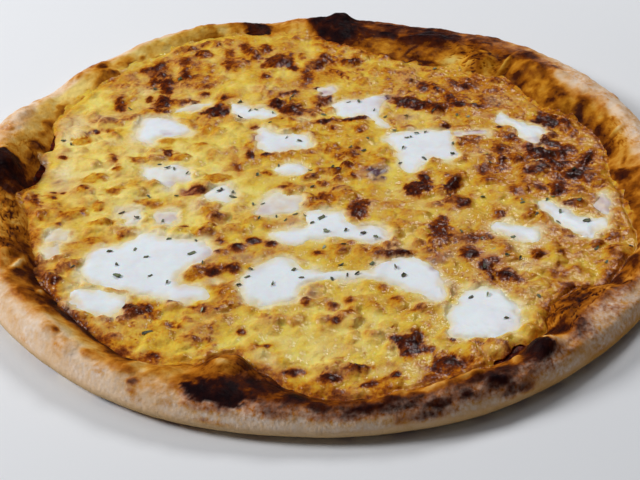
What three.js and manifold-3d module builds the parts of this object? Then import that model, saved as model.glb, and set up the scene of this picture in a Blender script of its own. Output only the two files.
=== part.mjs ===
// Four cheese pizza, round, whole and uncut, with no dish under it.
// Millimetres, +Z up. The origin is the middle of the flat underside, on the surface it lies on.
// Layers from the bottom: dough with a raised uneven rim, tomato sauce, melted cheese, and
// pools of white soft cheese. Dried oregano flakes are joined to whatever they lie on.
import * as THREE from 'three';
import Module from 'manifold-3d';

const wasm = await Module();
wasm.setup();

// ---------------------------------------------------------------- driving sizes
const OUTER_RADIUS = 155;      // widest reach of the crust
const FOOT_RADIUS = 148.5;     // edge of the flat underside
const CRUST_STEPS = 144;       // places round the rim and the cheese edge
const BASE_TOP = 3.8;          // top of the dough under the sauce
const LAYER_GAP = 0.3;         // clear height between two layers
const SAUCE_DEPTH = 0.9;
const CHEESE_LEVEL = 7.4;      // mean height of the melted cheese
const CHEESE_SWELL = 0.55;     // slow rise and fall of the cheese
const CHEESE_LIP = 1.1;        // how far the cheese rounds down at its edge
const CHEESE_SPACING = 6.3;    // distance between points of the cheese surface
const POOL_SPACING = 5.6;      // the same on and round a soft cheese pool
const POOL_DIP = 0.75;         // how deep a pool is sunk in the cheese
const POOL_RISE = 1.15;        // how far its middle stands over the cheese
const POOL_LIP = 0.6;          // how far its edge does
const POOL_BEVEL = 2.2;        // width of its rounded edge
const FLAKE_RISE = 0.42;       // how far an oregano flake stands proud
const FLAKE_ROOT = 0.4;        // how deep it is set in
const FLAKE_CLEAR = 0.8;       // least room between a flake and the edge of a pool

const SAUCE_TOP = BASE_TOP + LAYER_GAP + SAUCE_DEPTH;
const CHEESE_BOTTOM = SAUCE_TOP + LAYER_GAP;

const DEG = Math.PI / 180;
const TURN = 2 * Math.PI;

// ---------------------------------------------------------------- features of this pizza
// Inner edge of the rim, where the cheese meets it, anticlockwise from the right.
const RIM_INNER_EDGE = [
  [127, 0], [128, 30], [122, 45], [107, 55], [103, 62], [90, 86], [80, 88], [72, 95],
  [70, 103], [57, 104], [40, 110], [28, 112], [12, 124], [-5, 133], [-20, 135], [-60, 128],
  [-95, 95], [-121, 52], [-124, 20], [-126, 0], [-127, -15], [-122, -30], [-118, -45],
  [-113, -58], [-110, -70], [-104, -80], [-95, -92], [-88, -100], [-78, -110], [-70, -117],
  [-60, -120], [-45, -120], [-30, -115], [-20, -125], [-10, -133], [0, -138], [10, -139],
  [20, -138], [30, -134], [40, -130], [50, -127], [60, -122], [70, -117], [76, -110],
  [84, -103], [85, -95], [89, -86], [98, -78], [112, -75], [117, -68], [122, -60], [128, -52],
  [129, -20],
];

// Height of the rim's crest: angle from the right in degrees, height in mm.
const RIM_HEIGHTS = [
  [0, 15], [18, 17], [30, 17], [42, 16], [52, 14], [62, 11], [72, 9], [80, 10], [87, 12],
  [94, 10], [100, 8], [108, 11], [118, 12], [128, 11], [134, 9], [142, 10], [150, 7.5],
  [158, 11], [166, 14], [174, 17], [184, 16], [198, 15], [225, 15], [240, 14], [252, 13],
  [262, 12], [272, 12], [284, 13], [310, 14], [325, 13], [342, 14],
];

// Bubbles, mounds and folds of the rim: middle, length, width, turn in degrees, rise.
const RIM_BUMPS = [
  [12, 147, 16, 12, 0, 3.0],          // charred bump at the back
  [80, 98, 21, 19, 0, 4.2],           // smooth dough bubble
  [105, 85, 26, 12, -50, 2.4],        // browned top, right back
  [116, 76, 14, 8, -60, 1.2],
  [60, 122, 40, 12, -20, 1.6],        // high part behind the trench
  [49, 108, 20, 8, -12, -2.4],        // the trench itself
  [-137, 0, 34, 14, 90, 3.4],         // tall dark bump, left
  [-140, 45, 30, 14, 75, 1.8],
  [-105, 90, 16, 14, 40, 1.5],
  [-120, -62, 16, 6, 10, 1.6],
  [-30, -124, 32, 20, 0, 3.2],        // mound with the char, front left
  [80, -117, 17, 15, 0, 3.0],         // charred bumps, front right
  [91, -98, 13, 14, 30, 2.2],
  [54, -132, 30, 8, 18, 1.6],
  [126, -62, 26, 12, 60, 1.4],
  [141, -8, 34, 12, 90, 1.6],
  [-98, -108, 24, 12, -42, 1.6],
];

// Where the cheese has drawn back and the sauce shows: angle, half width in degrees, mm bare.
const BARE_SAUCE = [
  [168, 4, 4], [179, 5, 4.5], [60, 6, 7], [36, 8, 5], [0, 6, 4.5], [299, 5, 6], [290, 3, 4],
  [69, 4, 6], [274, 6, 3.5],
];

// Soft cheese pools as outlines, anticlockwise or clockwise, in order of name.
const POOLS = [
  [[-80, 50], [-70, 49], [-62, 42], [-60, 38], [-64, 34], [-72, 32], [-77, 26], [-83, 30],
    [-85, 36], [-84, 44]],
  [[-42, 62], [-37, 60], [-30, 58], [-22, 55], [-20, 52], [-23, 49], [-36, 49], [-41, 54]],
  [[-27, 40], [-22, 37], [-17, 35], [-8, 34], [-4, 28], [-5, 23], [-10, 22], [-22, 19],
    [-27, 22], [-29, 30]],
  [[7, 60], [9, 65], [20, 67], [27, 71], [32, 68], [30, 62], [28, 56], [31, 46], [34, 42],
    [30, 42], [25, 48], [20, 52], [10, 52]],
  [[30, 32], [36, 37], [45, 38], [58, 38], [61, 34], [62, 15], [55, 14], [50, 15], [46, 10],
    [44, 5], [40, 3], [36, 8], [35, 18], [33, 25]],
  [[86, 53], [90, 49], [95, 45], [102, 42], [105, 37], [101, 33], [100, 28], [97, 27],
    [93, 33], [92, 38], [88, 43], [84, 43], [83, 48]],
  [[-19, 4], [-17, 9], [-12, 11], [-6, 8], [-5, 4], [-9, 1.5], [-16, 1.5]],
  [[-78, 6], [-70, 7], [-60, 8], [-56, 0], [-57, -3], [-63, -4], [-66, -9], [-70, -4],
    [-76, -2]],
  [[-50, -15], [-45, -10], [-40, -7], [-36, -12], [-37, -17], [-40, -20], [-45, -18]],
  [[-4, -27], [3, -26], [9, -28], [12, -34], [16, -38], [24, -38], [28, -42], [27, -48],
    [18, -49], [12, -46], [5, -45], [-2, -47], [-10, -51], [-17, -48], [-20, -43],
    [-12, -40], [-5, -37], [-6, -32]],
  [[-93, -58], [-90, -53], [-82, -51], [-77, -47], [-72, -43], [-67, -43], [-63, -46],
    [-50, -47], [-46, -50], [-43, -57], [-50, -64], [-55, -70], [-54, -76], [-44, -79],
    [-44, -85], [-52, -87], [-60, -84], [-68, -81], [-78, -79], [-85, -76], [-91, -73],
    [-94, -67]],
  [[-95, -80], [-90, -78], [-82, -81], [-74, -84], [-76, -92], [-84, -94], [-90, -91],
    [-94, -86]],
  [[-29, -70], [-26, -66], [-20, -61], [-15, -59], [-10, -62], [-6, -66], [2, -66.5],
    [12, -67], [20, -66.5], [27, -61], [33, -59], [40, -60], [45, -66], [48, -74],
    [49, -82], [46, -86], [40, -83], [33, -79], [28, -75], [22, -72.5], [12, -72],
    [2, -73], [-5, -75], [-8, -79], [-10, -85], [-18, -88], [-24, -88], [-30, -82],
    [-31, -76]],
  [[57, -80], [62, -78], [67, -78], [72, -82], [75, -88], [75, -94], [74, -101], [66, -106],
    [60, -106], [52, -107], [48, -103], [49, -92], [52, -87]],
  [[71, -37], [75, -34.5], [82, -36], [90, -38], [91, -42], [88, -49], [84, -49], [79, -45],
    [72, -41]],
  [[94, -19], [98, -20], [104, -26], [109, -31], [119, -31], [119, -36], [115, -40],
    [112, -45], [107, -43], [101, -37], [97, -31], [93, -25]],
];

// Smaller pools, near enough to ovals: middle, length, width, turn in degrees.
const OVAL_POOLS = [
  [-60, 59, 16, 4.6, 23],
  [4, 75, 8.5, 7, 0],
  [69, 36, 15, 4, 8],
  [-78, -31, 9, 10, 0],
  [-64.5, -31, 10, 9, 0],
  [-16.5, -21.5, 20, 15, 35],
  [120.5, -22, 13, 6.5, 80],
  [-107, -44, 9, 8, 0],
  [-108, -55, 6.5, 9, 20],
];

// Blisters and browned lumps of the cheese: middle, length, width, turn in degrees, rise.
const BLISTERS = [
  [-49, 54, 12, 9, 0, 1.0], [-75, 63, 9, 12, 0, 0.8], [-75, 80, 9, 14, 0, 1.0],
  [-81, 101, 7, 12, 0, 0.7], [-95, 60, 6, 14, 0, 0.9], [-57, 79, 11, 7, 0, 0.6],
  [-61, 65, 8, 6, 0, 0.6], [-68, 17, 6, 8, 0, 0.7], [-53, -12, 12, 7, 0, 0.9],
  [-103, -29, 15, 9, 20, 1.1], [-102, -10, 6, 9, 0, 0.9], [-93, -23, 7, 9, 0, 0.8],
  [-72, -20, 11, 8, 0, 0.9], [-90, -36, 12, 6, 0, 0.7], [-93, -46, 8, 6, 0, 0.7],
  [-46, -28, 7, 9, 0, 0.8], [-20, 105, 17, 18, 0, 1.2], [-6, 87, 6, 14, 0, 0.8],
  [18, 105, 8, 6, 0, 0.6], [-14, 57, 13, 8, 0, 0.9], [45, 62, 25, 13, 0, 1.1],
  [67, 62, 8, 7, 0, 0.7], [76, 60, 7, 6, 0, 0.6], [108, 48, 11, 13, 0, 1.1],
  [81, 22, 7, 9, 0, 0.7], [105, 17, 16, 10, 30, 0.9], [116, 12, 7, 18, -20, 1.0],
  [-31, 14, 6, 8, 0, 0.6], [25, 2, 12, 13, 0, -0.5], [43, -8, 11, 13, 0, 0.9],
  [58, -7, 6, 10, 0, 0.6], [63, -20, 6, 10, 0, 0.7], [50, -38, 11, 18, 0, -0.7],
  [103, -10, 9, 13, 0, 0.9], [64, -46, 11, 6, 0, 0.7], [60, -57, 9, 8, 0, 0.8],
  [17, -21, 11, 12, 0, 0.8], [30, -54, 11, 8, 0, 1.2], [-42, -70, 8, 6, 0, 0.7],
  [-66, -92, 16, 7, -20, 0.8], [8, -93, 13, 12, 0, 0.8], [33, -112, 16, 16, 0, 0.9],
  [-20, -110, 9, 6, 0, 0.6], [71, -67, 15, 11, 0, 0.8], [87, -58, 6, 9, 0, 0.6],
  [-115, 38, 14, 24, 0, 0.8], [-111, 3, 10, 15, 0, 0.6], [72, 18, 10, 13, 0, 0.6],
  [10, -112, 16, 10, 0, 0.7], [42, 88, 22, 14, 0, 0.8], [-85, 120, 10, 8, 0, 0.6],
  [-38, 92, 16, 10, 20, 0.6], [2, 112, 14, 9, 0, 0.5], [-40, 118, 16, 9, 10, 0.6],
];

// Oregano flakes: middle, length, width, turn in degrees.
const FLAKES = [
  [-84, -56, 3.4, 2.2, 20], [-74, -54, 3, 2, 70], [-69, -59, 3.2, 2, 140], [-53, -57, 5, 3, 30],
  [-80, -64, 3, 2.2, 0], [-79, -71, 4.8, 3, 60], [-66, -72, 3, 2, 15], [-59, -76, 3, 2, 80],
  [-61, -50, 3, 2, 40], [-97, -66, 3, 2, 90], [-63, -104.5, 6, 2.2, 15],
  [-117, 29, 3, 2, 60], [-113, 22, 3, 2, 20], [-80, 73, 3, 2, 0], [-90, 57, 3.2, 2, 45],
  [-69, 88, 4, 2.4, 30], [-68, 3, 5, 3, 20], [-61, 4, 3.2, 2, 100], [-73, 3, 3, 2, 60],
  [-85, -28, 4, 2, 120], [-78, -31, 3.4, 2.2, 10], [-64, -31, 3.4, 2, 50],
  [-62, -16, 3.2, 2.2, 0], [-42, -12, 4.4, 2.6, 70], [-37, 55, 3.2, 2, 20],
  [-30, 53.5, 4, 2.4, 150], [-16, 30, 3.4, 2.2, 45], [-10, 28, 3.4, 2.2, 90],
  [14, 62, 3.4, 2.2, 20], [19, 60, 3, 2, 80], [26, 55, 3.2, 2, 30], [0, 53, 3.4, 2.4, 10],
  [-14, 66, 5.5, 2, 80], [15, 25, 3, 2, 30], [21, 20, 3.4, 2, 110], [22, 31, 3, 2, 0],
  [40, 31, 4, 2.6, 20], [44, 33, 3.2, 2.2, 95], [50, 34, 3, 2, 60], [40, 22, 3, 2, 10],
  [56, 27, 3, 2, 50], [54, 19, 3.2, 2.2, 120], [40, 10, 3, 2, 30], [6, 6, 3, 2, 70],
  [-14, 6, 3.2, 2.2, 30], [-3, -8, 3.4, 2, 0], [-29, 0, 3, 2, 40], [2, -31, 4.6, 3, 15],
  [11, -40, 3.2, 2, 60], [19, -43, 4.2, 2.8, 10], [23, -44, 3, 2, 100], [-16, -22, 3, 2, 30],
  [-30, -36, 3, 2, 70], [-19, -19, 3, 2, 120], [10, -52, 3, 2, 0], [5, -69.5, 3.2, 2, 20],
  [33, -71, 3, 2, 45], [-18, -76, 3.4, 2.2, 60], [-26, -72, 3, 2, 120], [-20, -66, 3, 2, 10],
  [-12, -67, 3, 2, 80], [40, -72, 3, 2, 0], [60, -84, 3.4, 2.2, 20], [68, -95, 3.2, 2.2, 70],
  [66, -66, 4, 2, 90], [80, -60, 3, 2, 30], [84, -83, 3, 2, 10], [112, -54, 3, 2, 50],
  [111, -35, 5, 3, 20], [102, -30, 3, 2, 60], [91, -30, 3.2, 2, 130], [86, -21, 3.4, 2.4, 0],
  [99, -14, 3, 2, 70], [56, -16, 3, 2, 20], [70, -16, 3, 2, 110], [70, -54, 3.2, 2.2, 0],
  [80, -41, 3, 2, 40], [97, 8, 3, 2, 0], [76, 10, 4, 2, 20], [109, 61, 3, 2, 0],
  [58, 92, 3, 2, 60], [65, 51, 3.4, 2.4, 30],
];

// ---------------------------------------------------------------- small helpers
const mix = (a, b, t) => a + (b - a) * t;
const clamp = (v, lo, hi) => Math.min(hi, Math.max(lo, v));

function ease(t) {
  const c = clamp(t, 0, 1);
  return c * c * (3 - 2 * c);
}

// Repeatable draws between 0 and 1.
function makeRandom(seed) {
  let state = seed >>> 0;
  return () => {
    state = (state + 0x6d2b79f5) >>> 0;
    let t = Math.imul(state ^ (state >>> 15), 1 | state);
    t = (t + Math.imul(t ^ (t >>> 7), 61 | t)) ^ t;
    return ((t ^ (t >>> 14)) >>> 0) / 4294967296;
  };
}

// Smooth noise between -1 and 1 that changes over about `size` mm.
function noise(x, y, size, seed) {
  const corner = (i, j) => {
    const s = Math.sin(i * 127.1 + j * 311.7 + seed * 74.7) * 43758.5453;
    return 2 * (s - Math.floor(s)) - 1;
  };
  const gx = x / size;
  const gy = y / size;
  const i = Math.floor(gx);
  const j = Math.floor(gy);
  const u = ease(gx - i);
  const v = ease(gy - j);
  const low = mix(corner(i, j), corner(i + 1, j), u);
  const high = mix(corner(i, j + 1), corner(i + 1, j + 1), u);
  return mix(low, high, v);
}

// A function of the angle (radians) that eases from each [degrees, value] to the next.
function roundTheClock(pairs) {
  const sorted = [...pairs].sort((a, b) => a[0] - b[0]);
  return (angle) => {
    const deg = (((angle / DEG) % 360) + 360) % 360;
    let k = sorted.findIndex((p) => p[0] > deg);
    if (k < 0) k = 0;
    const next = sorted[k];
    const last = sorted[(k + sorted.length - 1) % sorted.length];
    const span = (next[0] - last[0] + 360) % 360;
    const along = (deg - last[0] + 360) % 360;
    return mix(last[1], next[1], ease(along / span));
  };
}

// Height of an oval bump at a place: 1 at its middle, 0 at its edge.
function ovalBump(x, y, [cx, cy, length, width, turn]) {
  const c = Math.cos(turn * DEG);
  const s = Math.sin(turn * DEG);
  const u = ((x - cx) * c + (y - cy) * s) / (length / 2);
  const v = ((y - cy) * c - (x - cx) * s) / (width / 2);
  return ease(1.25 * (1 - Math.hypot(u, v)));
}

// ---------------------------------------------------------------- the rim
const toPolar = ([x, y]) => [(Math.atan2(y, x) / DEG + 360) % 360, Math.hypot(x, y)];
const innerRadius = roundTheClock(RIM_INNER_EDGE.map(toPolar));
const crestHeight = roundTheClock(RIM_HEIGHTS);

function rimRelief(x, y) {
  let rise = 0.55 * noise(x, y, 11, 3) + 0.35 * noise(x, y, 5.5, 4);
  for (const bump of RIM_BUMPS) rise += bump[5] * ovalBump(x, y, bump);
  return rise;
}

function bareAt(angle) {
  let bare = 0;
  for (const [deg, half, depth] of BARE_SAUCE) {
    const off = Math.abs(((angle / DEG - deg + 540) % 360) - 180);
    bare = Math.max(bare, depth * ease(1.6 * (1 - off / half)));
  }
  return bare;
}

// One slice through the crust from the underside, out, up over the crest and in to the floor
// under the sauce. `keep` says how much of the bumps and noise each place takes.
function crustSlice(angle) {
  const lean = 1.3 * noise(40 * Math.cos(angle), 40 * Math.sin(angle), 17, 8);
  const reach = OUTER_RADIUS - 1.3 + lean;
  const inner = innerRadius(angle);
  const high = crestHeight(angle);
  const crest = clamp(mix(inner, reach, 0.58), inner + 5, reach - 7);
  const level = CHEESE_LEVEL - 0.9;
  const at = (r, z, keep) => ({ r, z, keep });
  return [
    at(FOOT_RADIUS + 0.5 * lean, 0, 0),
    at(reach - 3.0, 0.9, 0),
    at(reach - 0.7, 0.24 * high, 0.1),
    at(reach, 0.46 * high, 0.25),
    at(reach - 1.3, 0.7 * high, 0.5),
    at(reach - 3.8, 0.9 * high, 0.8),
    at(crest, high, 1),
    at(mix(crest, inner, 0.36), mix(high, level, 0.22), 1),
    at(mix(crest, inner, 0.7), mix(high, level, 0.6), 0.9),
    at(inner, level, 0),
    at(inner - 2.4, BASE_TOP, 0),
  ];
}

function ringOf(slices, k) {
  return slices.map(({ angle, slice }) => {
    const { r, z, keep } = slice[k];
    const x = r * Math.cos(angle);
    const y = r * Math.sin(angle);
    return [x, y, keep ? Math.max(z + keep * rimRelief(x, y), 0.3 * z + 1.5) : z];
  });
}

// ---------------------------------------------------------------- surfaces from loose points
function insideOutline(outline, x, y) {
  let inside = false;
  for (let i = 0, j = outline.length - 1; i < outline.length; j = i, i += 1) {
    const [ax, ay] = outline[i];
    const [bx, by] = outline[j];
    if ((ay > y) !== (by > y) && x < ((bx - ax) * (y - ay)) / (by - ay) + ax) inside = !inside;
  }
  return inside;
}

// Distance to the outline, positive inside it.
function depthIn(outline, x, y) {
  let least = Infinity;
  for (let i = 0, j = outline.length - 1; i < outline.length; j = i, i += 1) {
    const [ax, ay] = outline[j];
    const [bx, by] = outline[i];
    const dx = bx - ax;
    const dy = by - ay;
    const t = clamp(((x - ax) * dx + (y - ay) * dy) / (dx * dx + dy * dy), 0, 1);
    least = Math.min(least, Math.hypot(x - ax - t * dx, y - ay - t * dy));
  }
  return insideOutline(outline, x, y) ? least : -least;
}

function circleThrough(points, [a, b, c]) {
  const [ax, ay] = points[a];
  const [bx, by] = points[b];
  const [cx, cy] = points[c];
  const d = 2 * (ax * (by - cy) + bx * (cy - ay) + cx * (ay - by));
  const aa = ax * ax + ay * ay;
  const bb = bx * bx + by * by;
  const cc = cx * cx + cy * cy;
  const x = (aa * (by - cy) + bb * (cy - ay) + cc * (ay - by)) / d;
  const y = (aa * (cx - bx) + bb * (ax - cx) + cc * (bx - ax)) / d;
  return { x, y, rr: (ax - x) ** 2 + (ay - y) ** 2 };
}

// Delaunay triangles over points, by adding them one at a time.
function delaunay(flat) {
  const far = 5000;
  const n = flat.length;
  const points = [...flat, [-far, -far], [far, -far], [0, far]];
  const first = [n, n + 1, n + 2];
  let triangles = [{ ids: first, circle: circleThrough(points, first) }];
  for (let p = 0; p < n; p += 1) {
    const [x, y] = points[p];
    const rim = new Map();
    const kept = [];
    for (const triangle of triangles) {
      const { circle, ids } = triangle;
      if ((x - circle.x) ** 2 + (y - circle.y) ** 2 >= circle.rr) {
        kept.push(triangle);
        continue;
      }
      for (let e = 0; e < 3; e += 1) {
        const from = ids[e];
        const to = ids[(e + 1) % 3];
        if (!rim.delete(`${to},${from}`)) rim.set(`${from},${to}`, [from, to]);
      }
    }
    for (const [from, to] of rim.values()) {
      const ids = [from, to, p];
      kept.push({ ids, circle: circleThrough(points, ids) });
    }
    triangles = kept;
  }
  return triangles.map((t) => t.ids).filter((ids) => ids.every((id) => id < n));
}

// Points at least `spacing` apart inside an outline, on a shaken hexagonal grid, after the
// `wanted` ones. spacing(x, y) may change from place to place.
function fillPoints(outline, wanted, spacing, step, seed) {
  const random = makeRandom(seed);
  const taken = [...outline];
  const cells = new Map();
  const key = (x, y) => `${Math.floor(x / 8)},${Math.floor(y / 8)}`;
  const remember = (p) => {
    const k = key(p[0], p[1]);
    if (!cells.has(k)) cells.set(k, []);
    cells.get(k).push(p);
  };
  outline.forEach(remember);
  const free = (x, y, clear) => {
    for (let i = -2; i <= 2; i += 1) {
      for (let j = -2; j <= 2; j += 1) {
        for (const [px, py] of cells.get(key(x + 8 * i, y + 8 * j)) ?? []) {
          if (Math.hypot(px - x, py - y) < clear) return false;
        }
      }
    }
    return true;
  };
  const offer = (x, y, clear) => {
    if (depthIn(outline, x, y) < 0.55 * clear || !free(x, y, clear)) return;
    taken.push([x, y]);
    remember([x, y]);
  };
  for (const [x, y, clear] of wanted) offer(x, y, clear);
  const xs = outline.map((p) => p[0]);
  const ys = outline.map((p) => p[1]);
  const rise = step * Math.sqrt(3) / 2;
  let row = 0;
  for (let y = Math.min(...ys); y < Math.max(...ys); y += rise) {
    for (let x = Math.min(...xs) + (row % 2) * step / 2; x < Math.max(...xs); x += step) {
      const px = x + 0.22 * step * (random() - 0.5);
      const py = y + 0.22 * step * (random() - 0.5);
      offer(px, py, spacing(px, py));
    }
    row += 1;
  }
  return taken;
}

// ---------------------------------------------------------------- closed solids
function solidFrom(positions, triangles) {
  const mesh = new wasm.Mesh({
    numProp: 3,
    vertProperties: Float32Array.from(positions.flat()),
    triVerts: Uint32Array.from(triangles.flat()),
  });
  return new wasm.Manifold(mesh);
}

function biggestPiece(solid) {
  const pieces = solid.decompose();
  return pieces.reduce((best, piece) => (piece.volume() > best.volume() ? piece : best));
}

// Rings of equally many points from the underside to the top, with both ends filled flat.
function solidOfRings(rings) {
  const count = rings[0].length;
  const positions = rings.flat();
  const triangles = [];
  for (let k = 0; k + 1 < rings.length; k += 1) {
    for (let i = 0; i < count; i += 1) {
      const a = k * count + i;
      const b = k * count + ((i + 1) % count);
      triangles.push([a, b, b + count], [a, b + count, a + count]);
    }
  }
  const flat = (ring) => ring.map(([x, y]) => new THREE.Vector2(x, y));
  const last = (rings.length - 1) * count;
  for (const [a, b, c] of THREE.ShapeUtils.triangulateShape(flat(rings[0]), [])) {
    triangles.push([c, b, a]);
  }
  for (const [a, b, c] of THREE.ShapeUtils.triangulateShape(flat(rings.at(-1)), [])) {
    triangles.push([last + a, last + b, last + c]);
  }
  return solidFrom(positions, triangles);
}

// A layer with a shaped top: points[0..n-1] are its outline, the rest lie inside it.
function solidLayer(points, n, top, bottomRing, bottomZ) {
  const outline = points.slice(0, n);
  const triangles = delaunay(points).filter((ids) => {
    const x = (points[ids[0]][0] + points[ids[1]][0] + points[ids[2]][0]) / 3;
    const y = (points[ids[0]][1] + points[ids[1]][1] + points[ids[2]][1]) / 3;
    return insideOutline(outline, x, y);
  }).map((ids) => {
    const [a, b, c] = ids.map((id) => points[id]);
    const area = (b[0] - a[0]) * (c[1] - a[1]) - (c[0] - a[0]) * (b[1] - a[1]);
    return area > 0 ? ids : [ids[0], ids[2], ids[1]];
  });
  const positions = points.map(([x, y]) => [x, y, top(x, y)]);
  const below = positions.length;
  for (const [x, y] of bottomRing) positions.push([x, y, bottomZ]);
  const skin = triangles.map((ids) => [...ids]);
  for (let i = 0; i < n; i += 1) {
    const j = (i + 1) % n;
    triangles.push([i, below + i, below + j], [i, below + j, j]);
  }
  const flat = bottomRing.map(([x, y]) => new THREE.Vector2(x, y));
  for (const [a, b, c] of THREE.ShapeUtils.triangulateShape(flat, [])) {
    triangles.push([below + c, below + b, below + a]);
  }
  const surface = skin.map((ids) => ids.map((id) => positions[id]));
  return { solid: solidFrom(positions, triangles), surface };
}

// Height of a triangulated surface at a place, or null outside it.
function heightOn(surface, x, y) {
  for (const [a, b, c] of surface) {
    const det = (b[1] - c[1]) * (a[0] - c[0]) + (c[0] - b[0]) * (a[1] - c[1]);
    const u = ((b[1] - c[1]) * (x - c[0]) + (c[0] - b[0]) * (y - c[1])) / det;
    const v = ((c[1] - a[1]) * (x - c[0]) + (a[0] - c[0]) * (y - c[1])) / det;
    if (u >= 0 && v >= 0 && u + v <= 1) return u * a[2] + v * b[2] + (1 - u - v) * c[2];
  }
  return null;
}

// ---------------------------------------------------------------- outlines of the pools
function evenly(outline, spacing) {
  const knots = outline.map(([x, y]) => new THREE.Vector3(x, y, 0));
  const curve = new THREE.CatmullRomCurve3(knots, true, 'centripetal');
  const count = Math.max(9, Math.round(curve.getLength() / spacing));
  const even = curve.getSpacedPoints(count).slice(0, count).map((p) => [p.x, p.y]);
  const area = THREE.ShapeUtils.area(even.map(([x, y]) => new THREE.Vector2(x, y)));
  return area < 0 ? even.reverse() : even;
}

function ovalOutline([cx, cy, length, width, turn]) {
  const c = Math.cos(turn * DEG);
  const s = Math.sin(turn * DEG);
  return Array.from({ length: 10 }, (_, k) => {
    const wave = 1 + 0.07 * Math.sin(2.3 * k + cx);
    const u = wave * (length / 2) * Math.cos(TURN * k / 10);
    const v = wave * (width / 2) * Math.sin(TURN * k / 10);
    return [cx + u * c - v * s, cy + u * s + v * c];
  });
}

const poolOutlines = [...POOLS, ...OVAL_POOLS.map(ovalOutline)]
  .map((outline) => evenly(outline, POOL_SPACING));

// Depth inside the nearest pool, negative outside all of them.
function poolDepth(x, y) {
  let depth = -Infinity;
  for (const outline of poolOutlines) {
    const [ox, oy] = outline[0];
    if (Math.hypot(x - ox, y - oy) > 95) continue;
    depth = Math.max(depth, depthIn(outline, x, y));
  }
  return depth;
}

// ---------------------------------------------------------------- the cheese surface
const edgeRadius = (angle) => innerRadius(angle) - 0.9 - bareAt(angle);

function plainCheese(x, y) {
  const swell = noise(x, y, 34, 1) + 0.45 * noise(x, y, 15, 2);
  const fromEdge = edgeRadius(Math.atan2(y, x)) - Math.hypot(x, y);
  return CHEESE_LEVEL + CHEESE_SWELL * swell - CHEESE_LIP * (1 - ease(fromEdge / 5));
}

function cheeseTop(x, y) {
  let z = plainCheese(x, y);
  const depth = poolDepth(x, y);
  const clear = 1 - ease((depth + 2.5) / 2.5);
  for (const blister of BLISTERS) z += clear * blister[5] * ovalBump(x, y, blister);
  return z - POOL_DIP * ease(depth / (1.4 * POOL_BEVEL));
}

function poolTop(outline) {
  return (x, y) => {
    const t = ease(depthIn(outline, x, y) / POOL_BEVEL);
    return plainCheese(x, y) + mix(POOL_LIP, POOL_RISE, t);
  };
}

// ---------------------------------------------------------------- oregano flakes
// A flake is a thin wafer of five uneven sides, a little tilted, set into the surface.
function flakeSolid([x, y, length, width, turn], surface, random) {
  const level = heightOn(surface, x, y);
  if (level === null) return null;
  const c = Math.cos(turn * DEG);
  const s = Math.sin(turn * DEG);
  const tilt = 0.16 * (random() - 0.5);
  const ring = Array.from({ length: 5 }, (_, k) => {
    const angle = TURN * (k + 0.25 * random()) / 5;
    const size = 0.82 + 0.3 * random();
    const u = size * (length / 2) * Math.cos(angle);
    const v = size * (width / 2) * Math.sin(angle);
    return [x + u * c - v * s, y + u * s + v * c, tilt * u];
  });
  const low = ring.map(([px, py]) => [px, py, level - FLAKE_ROOT]);
  const high = ring.map(([px, py, dz]) => [px, py, level + FLAKE_RISE + dz]);
  return solidOfRings([low, high]);
}

// A flake over a pool's edge is shifted until it is wholly on the pool or wholly off it, and
// left out where there is no room for that.
function settled(flake) {
  const [, , length, width, turn] = flake;
  let [x, y] = flake;
  const need = 0.6 * length + FLAKE_CLEAR;
  for (let k = 0; k < 30; k += 1) {
    const depth = poolDepth(x, y);
    if (Math.abs(depth) >= need) return [[x, y, length, width, turn]];
    const gx = poolDepth(x + 0.2, y) - poolDepth(x - 0.2, y);
    const gy = poolDepth(x, y + 0.2) - poolDepth(x, y - 0.2);
    const size = Math.hypot(gx, gy) || 1;
    const way = depth > 0 ? 0.4 : -0.4;
    x += way * gx / size;
    y += way * gy / size;
  }
  return [];
}

// ---------------------------------------------------------------- building
const angles = Array.from({ length: CRUST_STEPS }, (_, k) => TURN * k / CRUST_STEPS);
const slices = angles.map((angle) => ({ angle, slice: crustSlice(angle) }));
const doughRings = slices[0].slice.map((_, k) => ringOf(slices, k));
const dough = solidOfRings(doughRings);

const sauceRing = (inset, z) => angles.map((angle) => {
  const r = innerRadius(angle) - inset;
  return [r * Math.cos(angle), r * Math.sin(angle), z];
});
const sauce = solidOfRings([
  sauceRing(2.9, BASE_TOP + LAYER_GAP),
  sauceRing(2.2, BASE_TOP + LAYER_GAP + 0.6 * SAUCE_DEPTH),
  sauceRing(3.2, SAUCE_TOP),
]);

const edgeAngles = Array.from({ length: CRUST_STEPS }, (_, k) => TURN * k / CRUST_STEPS);
const edgeRing = (inset) => edgeAngles.map((angle) => {
  const r = edgeRadius(angle) - inset;
  return [r * Math.cos(angle), r * Math.sin(angle)];
});
const blisterPoints = BLISTERS.flatMap(([cx, cy, length, width, turn]) => {
  const places = [[cx, cy, 2.4]];
  const c = Math.cos(turn * DEG);
  const s = Math.sin(turn * DEG);
  for (let k = 0; k < 5 && Math.max(length, width) > 9; k += 1) {
    const u = 0.46 * length * Math.cos(TURN * k / 5);
    const v = 0.46 * width * Math.sin(TURN * k / 5);
    places.push([cx + u * c - v * s, cy + u * s + v * c, 3]);
  }
  return places;
}).filter(([x, y]) => poolDepth(x, y) < -1);

// Points one bevel in from the outline, where the pool is wide enough to have them.
function insetPoints(outline) {
  return outline.map(([x, y], k) => {
    const [ax, ay] = outline[(k + outline.length - 1) % outline.length];
    const [bx, by] = outline[(k + 1) % outline.length];
    const size = Math.hypot(bx - ax, by - ay);
    return [x - POOL_BEVEL * (by - ay) / size, y + POOL_BEVEL * (bx - ax) / size, 1.8];
  });
}

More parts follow.
